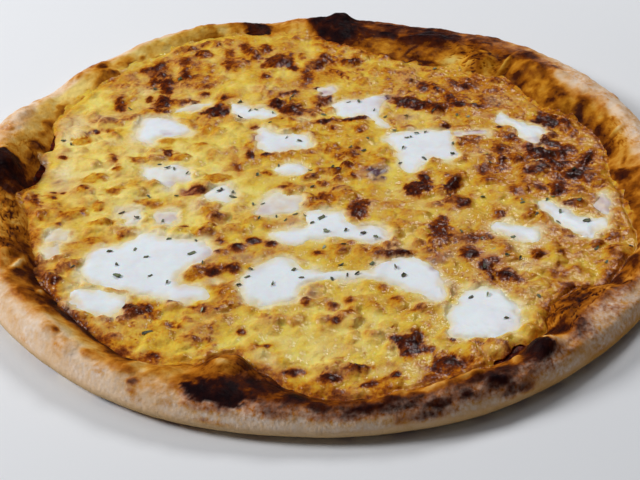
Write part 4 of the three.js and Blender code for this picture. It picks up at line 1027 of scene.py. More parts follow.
# The pale face is smooth in colour. The baked top is blotchy.
blotchy = add_node(crust, "Math", {0: browning, 1: 1.2, 2: 0.15},
                   operation="MULTIPLY_ADD", use_clamp=True)[0]
blotch = add_node(crust, "Math", {0: coarse, 1: 0.34, 2: -0.31}, operation="MULTIPLY_ADD")[0]
blotch = add_node(crust, "Math", {0: fine, 1: 0.28, 2: blotch}, operation="MULTIPLY_ADD")[0]
baked = add_node(crust, "Math", {0: blotch, 1: blotchy, 2: browning},
                 operation="MULTIPLY_ADD")[0]
toasted = add_node(crust, "ValToRGB", {0: baked}, stops=[
    (0.00, "#e8caa8"), (0.14, "#deb382"), (0.28, "#d09244"), (0.42, "#b46a1c"),
    (0.56, "#85440c"), (0.70, "#4c1f0a"), (0.86, "#2a110f"), (1.00, "#180b0e")])[0]
oiled = add_node(crust, "ValToRGB", {0: baked}, stops=[
    (0.00, "#e6ca74"), (0.20, "#daa844"), (0.36, "#c27f1e"), (0.52, "#93520c"),
    (0.70, "#4c1f0a"), (1.00, "#180b0e")])[0]
skin = add_node(crust, "Mix", {0: oily, 6: toasted, 7: oiled}, data_type="RGBA")[2]
specks = add_node(crust, "Math", {0: grain(crust, 1.0, detail=2.0), 1: 2.6, 2: -0.776},
                  operation="MULTIPLY_ADD", use_clamp=True)[0]
dusted = add_node(crust, "Math", {0: floury, 1: specks}, operation="MULTIPLY",
                  use_clamp=True)[0]
skin = add_node(crust, "Mix", {0: dusted, 6: skin, 7: linear("#ead6c6")},
                data_type="RGBA")[2]
# Less baked dough near the foot, painted darker as well for the shade low on the face, then the
# underside with its toasted spots
low_down = add_node(crust, "Math", {0: unbaked_and_shaded, 1: 0.8}, operation="MULTIPLY")[0]
skin = add_node(crust, "Mix", {0: low_down, 6: skin, 7: linear("#a88c5c")},
                data_type="RGBA")[2]
spots = add_node(crust, "ValToRGB", {0: grain(crust, 7.0)}, stops=[
    (0.38, "#d2b486"), (0.52, "#bf925a"), (0.60, "#8a5530"), (0.70, "#4e2c1c")])[0]
below = add_node(crust, "Math", {0: unbaked_and_shaded, 1: 20.0, 2: -19.0},
                 operation="MULTIPLY_ADD", use_clamp=True)[0]
skin = add_node(crust, "Mix", {0: below, 6: skin, 7: spots}, data_type="RGBA")[2]
# Flour and raw dough are matt. Browned and oily parts have a dull shine.
# Sockets 1 to 4: from baking 0.1 to 0.6, roughness goes from 0.85 to 0.42.
matt = add_node(crust, "MapRange", {"Value": baked, 1: 0.1, 2: 0.6, 3: 0.85, 4: 0.42})[0]
rough_skin = add_node(crust, "Math", {0: coarse, 1: 0.6, 2: fine},
                      operation="MULTIPLY_ADD")[0]
finish_surface(crust, {"Base Color": skin, "Roughness": matt, "IOR": 1.45,
                       "Specular IOR Level": 0.02}, bump=rough_skin, depth_mm=0.35)

# %% [markdown]
# ## Finish of the oregano
# Dried leaf crumbles into matt, grey-green to brown flakes. Each flake has a colour of its
# own, and veins of about 0.7 mm run through it in a lighter and a darker green.

# %% Dried oregano
herb = new_material("dried_oregano")
vein = grain(herb, 0.7)
veined = add_node(herb, "ValToRGB", {0: vein}, stops=[
    (0.35, "#2c3020"), (0.65, "#8a9070")])[0]
leaf_colour = add_node(herb, "Attribute", attribute_name="leaf")["Color"]
leaf_colour = add_node(herb, "Mix", {0: 0.35, 6: leaf_colour, 7: veined},
                       data_type="RGBA")[2]
finish_surface(herb, {"Base Color": leaf_colour, "Roughness": 0.6}, bump=vein, depth_mm=0.1)

# %% [markdown]
# ## Turning maps into meshes
# A grid primitive has one point for each small step of a surface. Its points are moved in
# code to where the maps say, which gives a free form that extrude and bevel can't, while
# edit mode still does the closing: the border is extruded down and filled.

# %% A grid and its points
def deselect_all():
    """An operator acts on all that is selected, and the solids come in selected."""
    if bpy.context.mode != "OBJECT":
        bpy.ops.object.mode_set(mode="OBJECT")
    bpy.ops.object.select_all(action="DESELECT")


def grid_piece(name, across, along):
    """A flat grid from -1 to 1, as the start of a piece."""
    deselect_all()
    bpy.ops.mesh.primitive_grid_add(x_subdivisions=across, y_subdivisions=along, size=2)
    piece = bpy.context.object
    piece.name = name
    piece.data.name = name
    return piece


def points_of(piece):
    """The places of a piece's points, a row each, as the mesh holds them."""
    flat = np.empty(len(piece.data.vertices) * 3)
    piece.data.vertices.foreach_get("co", flat)
    return flat.reshape(-1, 3)


def move_points(piece, points_mm):
    """Puts the points at places given in mm."""
    piece.data.vertices.foreach_set("co", (np.asarray(points_mm) * MM).ravel())
    piece.data.update()


print("selected after loading:", len(bpy.context.selected_objects))
deselect_all()
print("selected now:", len(bpy.context.selected_objects))

# %% Steps in edit mode
SELECT_ALL = (bpy.ops.mesh.select_all, {"action": "SELECT"})
SELECT_NONE = (bpy.ops.mesh.select_all, {"action": "DESELECT"})
FILL_HOLES = (bpy.ops.mesh.fill_holes, {"sides": 0})
TURN_OUTWARDS = (bpy.ops.mesh.normals_make_consistent, {"inside": False})


def edit(piece, *steps):
    """Runs edit mode operators on a piece: each step is an operator and its settings."""
    bpy.context.view_layer.objects.active = piece
    piece.select_set(True)
    bpy.ops.object.mode_set(mode="EDIT")
    for operator, settings in steps:
        operator(**settings)
    bpy.ops.object.mode_set(mode="OBJECT")


def delete_points(piece, chosen):
    """Deletes points, and then the edges that are left without a face."""
    edit(piece, (bpy.ops.mesh.select_mode, {"type": "VERT"}), SELECT_NONE)
    piece.data.vertices.foreach_set("select", chosen)
    edit(piece, (bpy.ops.mesh.delete, {"type": "VERT"}), SELECT_ALL,
         (bpy.ops.mesh.delete_loose, {}))


def close_below(piece, floor_mm, inset=1.0):
    """Extrudes the open border down to a level, draws it in a little and fills it."""
    edit(piece, (bpy.ops.mesh.select_mode, {"type": "EDGE"}), SELECT_NONE,
         (bpy.ops.mesh.select_non_manifold, {}),
         (bpy.ops.mesh.extrude_region_move, {}))
    new = np.empty(len(piece.data.vertices), bool)
    piece.data.vertices.foreach_get("select", new)
    points = points_of(piece)
    points[new, 2] = floor_mm * MM
    points[new, :2] *= inset
    piece.data.vertices.foreach_set("co", points.ravel())
    edit(piece, SELECT_ALL, FILL_HOLES, SELECT_ALL, TURN_OUTWARDS)


print("settings of the step that selects all:", SELECT_ALL[1])

# %% Finishing a piece
def write_attribute(piece, name, columns):
    """Colour numbers on the points, as an attribute that the material reads."""
    layer = piece.data.color_attributes.new(name, "FLOAT_COLOR", "POINT")
    values = np.ones((len(piece.data.vertices), 4))
    for k, column in enumerate(columns):
        values[:, k] = np.clip(column, 0, 1)
    layer.data.foreach_set("color", values.ravel())


def settle(piece, material, slot, *nodes):
    """Smooth shading, the material, the root body as parent, and the solids that the piece stands
    for hidden.
    """
    piece.data.materials.clear()
    piece.data.materials.append(material)
    bpy.context.view_layer.objects.active = piece
    piece.select_set(True)
    bpy.ops.object.shade_smooth()
    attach(piece, "root")
    if nodes:
        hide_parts(*nodes)
    triangles = sum(len(f.vertices) - 2 for f in piece.data.polygons)
    print(piece.name, "triangles:", triangles)


def as_disc(flat, radius_at):
    """Bends a square grid into a disc. Gives x, y and the distance from the edge in mm."""
    disc_x = flat[:, 0] * np.sqrt(1 - flat[:, 1] ** 2 / 2)
    disc_y = flat[:, 1] * np.sqrt(1 - flat[:, 0] ** 2 / 2)
    radius = radius_at(np.degrees(np.arctan2(disc_y, disc_x)) % 360)
    return disc_x * radius, disc_y * radius, radius * (1 - np.hypot(disc_x, disc_y))


corner = [float(v[0]) for v in as_disc(np.array([[1.0, 1.0]]), cheese_edge)]
print("a corner of the grid comes to, mm:", [round(v, 1) for v in corner])

# %% [markdown]
# ## The melted cheese
# One sheet over nearly the whole pizza. A square grid is bent into a disc, so that its
# meshes stay about equal, and each point then takes its height and its colours from the
# maps. The edge rounds down to the sauce, and draws back where the sauce shows.

# %% Cheese
CHEESE_STEPS = 300
CHEESE_UNDERSIDE = 5.2                   # mm over the floor
CHEESE_DRAWN_IN = 0.994                  # size of the underside against the top
ROUNDING = 4.5                           # mm of the edge that rounds down to the sauce
ON_THE_WALL = 1.25                       # mm of cheese over the wall, 6 mm from its edge
RUN_TOGETHER = 0.3                       # mm, how softly the two heights meet

cheese = grid_piece("cheese_surface", CHEESE_STEPS, CHEESE_STEPS)
x, y, from_edge = as_disc(points_of(cheese), cheese_edge)
level = look_up(height, x, y)
drop = 0.4 + 0.9 * eased(bare_at(np.degrees(np.arctan2(y, x)) % 360) / 2)
lying = level - drop * (1 - eased(from_edge / ROUNDING)) ** 1.5
draped = wall_height(x, y) - 0.9 + ON_THE_WALL * eased(from_edge / 6)
draped += 0.5 * (level - CHEESE_LEVEL)
# The lower of the two heights, with a soft change from one to the other
z = -RUN_TOGETHER * np.log(sum(np.exp(-np.clip(surface, 0, 30) / RUN_TOGETHER)
                               for surface in (lying, draped)))
move_points(cheese, np.stack([x, y, z], 1))
close_below(cheese, CHEESE_UNDERSIDE, inset=CHEESE_DRAWN_IN)
x, y, z = (points_of(cheese) / MM).T
write_attribute(cheese, "cheese", [look_up(a_map, x, y) for a_map in (bake, pale, rosy)])
settle(cheese, melted, "melted_cheese", "melted_cheese")

# %% [markdown]
# ## The pools
# Each pool is a small grid cut to its outline. Its top follows the cheese, stands about half a
# millimetre proud in the middle and dips under the cheese at the outline, so that the
# border seen is a soft wandering line.

# %% The top of a pool
POOL_RISE = 0.6                          # mm that a pool stands over the cheese
POOL_ROUNDING = 2.6                      # mm, over which its border rises


def pool_top(x, y, inside):
    """Height of a pool whose outline is `inside` mm away."""
    risen = 1 - np.exp(-np.clip(inside, 0, None) / POOL_ROUNDING)
    rounded = np.where(inside > 0, risen, 0.5 * inside)
    swell = 0.22 * noise(x, y, 9, 601) + 0.05 * noise(x, y, 3, 602)
    rise = np.clip(POOL_RISE * rounded + swell * eased(inside / 3), -0.7, None)
    return look_up(height, x, y) + POOL_DIP * eased(inside / DIP_WIDTH) + rise + 0.02


profile = pool_top(np.zeros(4), np.zeros(4), np.array([-1.0, 0.0, 2.0, 8.0]))
print("heights across a border, mm:", [round(float(v), 2) for v in profile])

# %% Pools
POOL_STEP = 0.6        # mm between two points of a pool
POOL_TUCK = 1.3                          # mm that it goes on under the cheese
POOL_UNDERSIDE = 5.6                     # mm over the floor
# Films of cheese too thin to be white all over: number of the pool, how thin.
THIN_POOLS = {8: 0.25, 9: 0.2, 17: 0.55, 18: 0.5, 19: 0.6, 20: 0.45, 21: 0.5, 22: 0.45,
              23: 0.6, 24: 0.75, 25: 0.7}


def pool_piece(name, thin, outline, win, depth):
    """Cuts a grid to a pool's outline, shapes and closes it, and writes its colours."""
    low, high = outline.min(0) - 2, outline.max(0) + 2
    steps = np.ceil((high - low) / POOL_STEP).astype(int)
    piece = grid_piece(name + "_melted", int(steps[0]), int(steps[1]))
    flat = points_of(piece)
    x = low[0] + (flat[:, 0] + 1) / 2 * (high[0] - low[0])
    y = low[1] + (flat[:, 1] + 1) / 2 * (high[1] - low[1])
    own = np.full(MAP_X.shape, -10.0)
    own[win] = depth
    inside = look_up(own, x, y)
    move_points(piece, np.stack([x, y, pool_top(x, y, inside)], 1))
    delete_points(piece, inside < -POOL_TUCK)
    close_below(piece, POOL_UNDERSIDE)
    x, y, z = (points_of(piece) / MM).T
    inside = look_up(own, x, y)
    stain = look_up(rosy, x, y) * (1 - 0.5 * eased(inside / 6))
    cream = np.clip(0.8 + 0.8 * mottle(x, y, 6, 603), 0, 1)
    cream *= 1 - eased((inside + 0.6) / 4.6)
    patchy = np.clip(thin + (0.1 + 0.5 * thin) * mottle(x, y, 5, 604), 0, 1)
    write_attribute(piece, "cheese", [np.zeros(len(x)), np.maximum(cream, patchy),
                                      stain + 0.15 * patchy])
    settle(piece, soft, "soft_cheese", name)


for k, (outline, (win, depth)) in enumerate(zip(pool_outlines, own_depth), 1):
    pool_piece(f"soft_cheese_{k:02d}", THIN_POOLS.get(k, 0), outline, win, depth)

# %% [markdown]
# ## The tomato sauce
# Sauce shows only where the cheese drew back from the rim, as dark, dull red patches. It is
# still a whole sheet under the cheese, as on the real one, made like the cheese.

# %% Sauce
SAUCE_STEPS = 210
SAUCE_LEVEL = 5.4                        # mm over the floor, where it shows
SAUCE_SHOWS = 14                         # mm from its edge
HIDDEN_LEVEL = 4.9                       # mm, under the cheese
SAUCE_UNDERSIDE = 4.1                    # mm
SAUCE_DRAWN_IN = 0.985                   # size of the underside against the top

sauce = grid_piece("sauce_surface", SAUCE_STEPS, SAUCE_STEPS)
x, y, from_edge = as_disc(points_of(sauce), lambda degrees: inner_radius(degrees) + 0.6)
z = SAUCE_LEVEL + 0.5 * mottle(x, y, 5, 701) + 0.3 * mottle(x, y, 2.2, 702)
z += 0.6 * (1 - eased(from_edge / 2))
z = np.where(from_edge > SAUCE_SHOWS, HIDDEN_LEVEL, z)
move_points(sauce, np.stack([x, y, z], 1))
close_below(sauce, SAUCE_UNDERSIDE, inset=SAUCE_DRAWN_IN)
settle(sauce, tomato, "sauce", "tomato_sauce")

# %% [markdown]
# ## The dough
# A grid is wrapped round the pizza so that each column of points is one slice. The outer
# face overhangs, which a height map can't do. Blisters, wrinkles and burnt spots are marks
# with a place on the rim, a size and a degree of baking.

# %% Marks on the crust
# Single marks: degrees, station across the rim, length along the rim and width across it in
# mm, turn in degrees, how far baked, rise in mm.
CRUST_MARKS = [
    # charred bump at the back and the dark patch left of it
    (85, 9.9, 15, 15, 0, 1.0, 0.5), (88.5, 10.2, 9, 12, 0, 0.97, 0.4),
    (103, 10.3, 15, 13, 0, 0.9, 0.3),
    # spots of the back left
    (138.5, 11, 5, 4, 0, 0.8, 0.2), (139, 9.2, 5, 6, 0, 0.82, 0.3),
    (133.5, 10.6, 4, 3, 0, 0.58, 0.1), (130, 10.6, 4, 3, 0, 0.55, 0.1),
    (155, 11, 6, 4, 60, 0.52, 0.3), (161, 11.2, 7, 4, 0, 0.58, 0.4),
    (165.5, 11.2, 5, 3, 0, 0.55, 0.2), (170.5, 11.1, 10, 5, 0, 0.7, 0.4),
    (169, 8.9, 9, 5, 0, 0.5, 0.8),
    # the tall dark bump on the left and the wrinkles below it
    (182.5, 9.9, 24, 19, 0, 0.92, 1.2), (186, 11.0, 9, 7, 0, 0.8, 0.3),
    (190, 11.2, 8, 2, 10, 0.7, 0.2), (192, 10.4, 8, 2, -10, 0.62, 0.2),
    (205, 11.1, 12, 5, -10, 0.7, 0.3), (210.2, 10.4, 13, 2.8, -42, 0.04, 1.1),
    (211.5, 11.3, 8, 4, 0, 0.85, 0.2), (218.5, 10.8, 7, 2.4, -45, 0.12, 0.6),
    (231, 11.9, 44, 4.5, 0, 0.9, 0.2), (222, 10.2, 12, 4, 0, 0.72, 0.2),
    (229.7, 8.8, 4, 3, 0, 0.75, 0.1), (225.5, 6.6, 9, 4, 0, 0.28, 0.1),
    # front left: spots, a pale fold and the charred mound
    (248, 7.8, 22, 13, 0, 0.24, 0.1), (244.6, 8.2, 6, 4, 60, 0.72, 0.2),
    (244.8, 7.4, 5, 3, 0, 0.5, 0.1), (248.5, 8.5, 9, 1.8, -25, 0.06, 0.5),
    (243, 10.5, 5, 14, 0, 0.24, 0.3), (256, 8.5, 26, 13, 0, 1.0, 0.3),
    (262, 10, 15, 9, 0, 0.88, 0.3), (255, 10, 8, 4, 0, 0.22, 0.2),
    (258.6, 10.6, 2.2, 10, -20, 0.85, -0.4), (256.5, 11.3, 13, 3, 0, 0.82, 0.1),
    (252, 10.8, 8, 3.5, 20, 0.72, 0.1), (267, 9.5, 11, 7, 0, 0.93, 0.2),
    (256.5, 6.4, 14, 2.6, 0, 0.45, 0),
    # front: the dark band and the orange ridge behind it
    (270, 8.6, 9, 6, 0, 0.93, 0.2), (276, 8.3, 13, 5, 0, 0.9, 0.2),
    (281.5, 8.2, 10, 5, 0, 0.78, 0.2), (286, 7.8, 10, 5, 0, 0.86, 0.2),
    (292, 9.2, 14, 3.5, 5, 0.8, 0.3), (296.5, 7.3, 8, 5, 0, 0.9, 0.2),
    (296, 9.3, 10, 4, 0, 0.85, 0.3), (281, 10.4, 7, 9, 0, 0.36, 0.6),
    (286.5, 9.6, 15, 4, 0, 0.34, 0.9), (292, 9.8, 14, 3, 0, 0.34, 0.7),
    (300, 10.6, 11, 4, 40, 0.3, 0.8), (303, 9.5, 10, 14, 0, 0.93, 0.4),
    (309, 10.6, 7, 10, 10, 0.88, 0.4), (306, 9.9, 6, 10, 0, 0.2, 0.3),
    # front right: wrinkles
    (310.5, 10.6, 9, 2.4, -10, 0.85, -0.3), (313, 10.9, 13, 1.8, -12, 0.85, -0.5),
    (315, 10.2, 15, 1.8, -12, 0.8, -0.5), (315.5, 9.6, 16, 1.6, -8, 0.7, -0.3),
    (317.5, 11.2, 13, 1.8, -14, 0.85, -0.5), (319, 10.4, 9, 1.8, -14, 0.8, -0.4),
    (321.5, 10.9, 10, 1.8, 35, 0.85, -0.5), (327, 11.1, 11, 4, 30, 0.8, 0.2),
    (332, 10.7, 10, 4.5, 20, 0.82, 0.2), (336, 11.3, 7, 5, 0, 0.3, 0.3),
    # right: dark wrinkles, a drip of cheese, small blisters, a split and the folds behind it
    (353, 11.6, 11, 5, 0, 0.66, 0.2), (358.5, 11, 11, 6, 30, 0.8, 0.3),
    (3, 10.5, 9, 2, -20, 0.65, -0.2), (11, 11, 2, 6, 20, 0.85, -0.3),
    (12, 10.2, 2.6, 9, 10, 0.14, 0.5), (20, 10.9, 13, 5, 0, 0.5, 0.1),
    (21, 9.9, 20, 5, 0, 0.42, 0.0), (28.5, 10.3, 13, 5, 0, 0.66, 0.4),
    (25.5, 10.6, 4, 3, 0, 0.62, 0.3), (34, 9.9, 14, 4, 0, 0.55, 0.1),
    (17, 10.3, 22, 2.4, -6, 0.5, 0.1), (38.5, 10.4, 3.4, 2, 0, 0.65, 0.1),
    (41, 10.4, 3, 2, 0, 0.6, 0.1), (45.3, 10.4, 1.5, 20, 0, 0.1, 0.8),
    (44.1, 11, 1.6, 10, 0, 0.85, -0.5), (52, 10.9, 13, 1.5, 10, 0.85, -0.5),
    (53, 10.4, 10, 1.4, -10, 0.8, -0.4), (56, 10.7, 8, 1.4, 25, 0.8, -0.4),
    (49, 10.2, 8, 1.4, 30, 0.85, -0.4), (50, 9.3, 22, 6, 0, 0.6, 0.2),
    (68.3, 11, 1.8, 9, -20, 0.88, -0.7), (65, 9.4, 9, 6, 0, 0.92, 0.2),
    (79, 9.9, 11, 6, 0, 0.8, 0.2), (63, 11.8, 22, 2.6, 0, 0.93, -0.4),
    (74.5, 10.9, 12, 11, 0, 0.42, 0.3), (283, 7.0, 24, 5, 0, 0.66, 0.0),
    (297, 7.0, 16, 6, 0, 0.7, 0.0),
]
print("single marks:", len(CRUST_MARKS))

# %% The grid of the crust
AROUND = 1000
# Rows of the grid between the stations: rows, first station, last station.
ROW_PLAN = [(4, 0, FOOT), (8, FOOT, LOWER_FACE), (30, LOWER_FACE, CREST), (40, CREST, EDGE),
            (4, EDGE, MIDDLE)]
HALF_LEAP = 0.15                         # of a station, to find how a slice slopes

rows = [np.linspace(a, b, n, endpoint=False) for n, a, b in ROW_PLAN]
rows = np.append(np.concatenate(rows), MIDDLE)
crust_piece = grid_piece("crust_surface", AROUND, len(rows) - 1)
flat = points_of(crust_piece)
degrees = 180 * (flat[:, 0] + 1) % 360
t = rows[np.rint((flat[:, 1] + 1) / 2 * (len(rows) - 1)).astype(int)]
ring_x, ring_y = np.cos(np.radians(degrees)), np.sin(np.radians(degrees))
stations = slice_stations(degrees)
r, z, keep = (along_curve(values, t) for values in stations)
ahead, behind = np.clip(t + HALF_LEAP, 0, MIDDLE), np.clip(t - HALF_LEAP, 0, MIDDLE)
leap_r, leap_z = (along_curve(values, ahead) - along_curve(values, behind)
                  for values in stations[:2])
leap = np.hypot(leap_r, leap_z) + 1e-9
print("rows of the crust:", len(rows), "points:", len(t))

# %% The crust laid flat
UNROLLED = 2.6                           # mm that a station of the outer face is long


def unrolled(radius, station):
    """Noise and marks lie on the rim as if its outer face were laid flat."""
    return radius + UNROLLED * np.clip(CREST - station, 0, CREST - FOOT)


ux, uy = unrolled(r, t) * ring_x, unrolled(r, t) * ring_y
z = z + keep * rim_swell(r * ring_x, r * ring_y, ux, uy)
print("highest point, mm:", round(float(z.max()), 1))

# %% [markdown]
# ## The skin of the crust
# The bands of baking run into each other from the face over the crest to the cheese. Small
# blisters, creases and single marks then change both the baking and the relief, so that a
# dark spot always sits on a form of its own. Relief moves a point square to the slice, which
# works on the overhanging face too.

# %% Baking and small blisters of the crust
# Where the shoulder's, crest's, wall's and edge's baking takes over: station, over how much.
BANDS = ((6.6, 1.4), (SHOULDER, 1.2), (9.2, 1.1), (10.3, 1.2))
# Blisters: size of a cell and rise in mm, browning, seed.
CRUST_DOMES = ((12.0, 0.8, 0.14, 821), (6.5, 0.4, 0.08, 822), (3.6, 0.16, 0.04, 823))
CRUST_FLAT_SHARE = 0.35                  # of the cells have no blister
CRUST_WOBBLE = (1.6, 7)                  # mm that one is bent by, and over how many mm

crust_bake, *bands, golden, flour = round_the_clock(CRUST_BAKE, degrees).T
for band, (start, over) in zip(bands, BANDS):
    crust_bake = blend(crust_bake, band, eased((t - start) / over))
upper = eased((t - 6.8) / 1.5)
crust_bake += (0.03 + 0.12 * upper) * mottle(ux, uy, 12, 811)
crust_bake += (0.03 + 0.10 * upper) * mottle(ux, uy, 4.5, 812)
relief = sum(high * mottle(ux, uy, size, seed)
             for size, high, seed in ((6, 0.22, 802), (2.6, 0.10, 803), (1.4, 0.04, 804)))
for size, rise, browning, seed in CRUST_DOMES:
    distance, number = wobbly_cells(ux, uy, size, seed, *CRUST_WOBBLE)
    dome = np.clip(1 - (distance / (0.28 + 0.34 * number)) ** 2, 0, 1)
    dome *= number > CRUST_FLAT_SHARE
    relief += rise * dome * (0.4 + 0.6 * number) * (0.25 + 0.75 * upper)
    crust_bake += browning * upper * eased(1.6 * dome - 0.2)
print("baking of the crust, on average:", round(float(crust_bake.mean()), 2))

# %% Wrinkles of the crust
# Thin dark lines that run along the rim where the wall sagged.
# Middle and half width in degrees, strength.
WRINKLED = [(198, 17, 1.0), (318, 14, 1.4), (53, 10, 1.2), (12, 9, 0.5), (172, 7, 0.5),
            (258, 9, 0.6), (290, 10, 0.5)]
CREASE_WIDTH = 0.14                      # share of the mottling's range
CREASE_DEPTH = 0.45                      # mm

wrinkled = np.zeros_like(t)
for at, half, strength in WRINKLED:
    near = 1 - degrees_apart(degrees, at) / half
    wrinkled = np.maximum(wrinkled, strength * eased(1.5 * near))
wrinkled *= eased((t - 9.0) / 0.6) * eased((12.2 - t) / 0.8)
run = np.radians(degrees) * OUTER_RADIUS
across = 4.2 * r - 0.7 * run + 2.0 * noise(run, r, 8, 852)
crease = eased(1 - np.abs(mottle(run, across, 8, 851, 2)) / CREASE_WIDTH) * wrinkled
crust_bake += 0.34 * crease - 0.08 * wrinkled
relief -= CREASE_DEPTH * crease
print("share of the crust in a crease:", round(float((crease > 0.5).mean()), 4))

# %% The single marks on the crust
# Degrees, and the station above which oil and cheese made the wall golden
GOLDEN_FROM = [(0, 9.5), (22, 9.7), (40, 9.2), (60, 9.2), (90, 9.0), (105, 8.6), (155, 8.6),
               (164, 9.2), (185, 9.0), (215, 8.9), (250, 8.6), (300, 9.2)]

golden_from = round_the_clock(GOLDEN_FROM, degrees)
crust_golden = golden * eased((t - golden_from) / 0.9)
rough_edge = 0.30 * mottle(ux, uy, 4.2, 831) + 0.16 * mottle(ux, uy, 1.8, 832)
for at, station, length, width, turn, level, rise in CRUST_MARKS:
    here = slice_stations(np.array([float(at)]))[0]
    radius = float(unrolled(along_curve(here, np.array([station]))[0], station))
    cx, cy = radius * math.cos(math.radians(at)), radius * math.sin(math.radians(at))
    depth = oval_depth(ux, uy, cx, cy, length, width, at + 90 + turn)
    small = min(length, width) / 2
    rough = depth + rough_edge * min(1.0, small / 2.0)
    share = eased(0.35 + rough * small / 2.4) * (depth > -2)
    crust_bake = blend(crust_bake, level - 0.05 + 0.14 * mottle(ux, uy, 4, 833), share)
    relief += rise * mound(depth)
relief *= np.clip(keep, 0, 1) * np.clip((EDGE - t) / 0.6, 0, 1)
print("relief of the crust, mm:", span(relief))

# %% The finished crust
UNDERSIDE_BAKE = 0.22
MERGE = 0.005                            # mm, closer points become one

r = r + relief * leap_z / leap
z = z - relief * leap_r / leap
crust_flour = flour * eased((t - 5.9) / 0.7) * (1 - eased((t - golden_from + 0.7) / 0.9))
crust_flour *= np.clip(0.8 + 0.6 * mottle(ux, uy, 9, 841), 0, 1.3)
crust_flour *= np.clip(1.3 - 1.6 * crust_bake, 0, 1)
# Dough low on the outer face is less baked, and it is painted darker as well for the shade that
# falls there
raw_and_shaded = 1 - eased((t - FOOT - 1.6) / 1.9)
crust_bake = np.where(t < FOOT, UNDERSIDE_BAKE, crust_bake)

move_points(crust_piece, np.stack([r * ring_x, r * ring_y, z], 1))
write_attribute(crust_piece, "crust", [crust_bake, crust_flour, crust_golden, raw_and_shaded])
edit(crust_piece, SELECT_ALL, (bpy.ops.mesh.remove_doubles, {"threshold": MERGE * MM}),
     FILL_HOLES, SELECT_ALL, TURN_OUTWARDS)
settle(crust_piece, crust, "crust", "dough")

# %% [markdown]
# ## Dried oregano
# Crumbled leaves, each a thin wafer a few millimetres long, curled as it dried. One leaf is
# modelled from a grid that gets its thickness from a Solidify modifier. Its copies are
# turned, stretched and laid on the surface, and then joined.

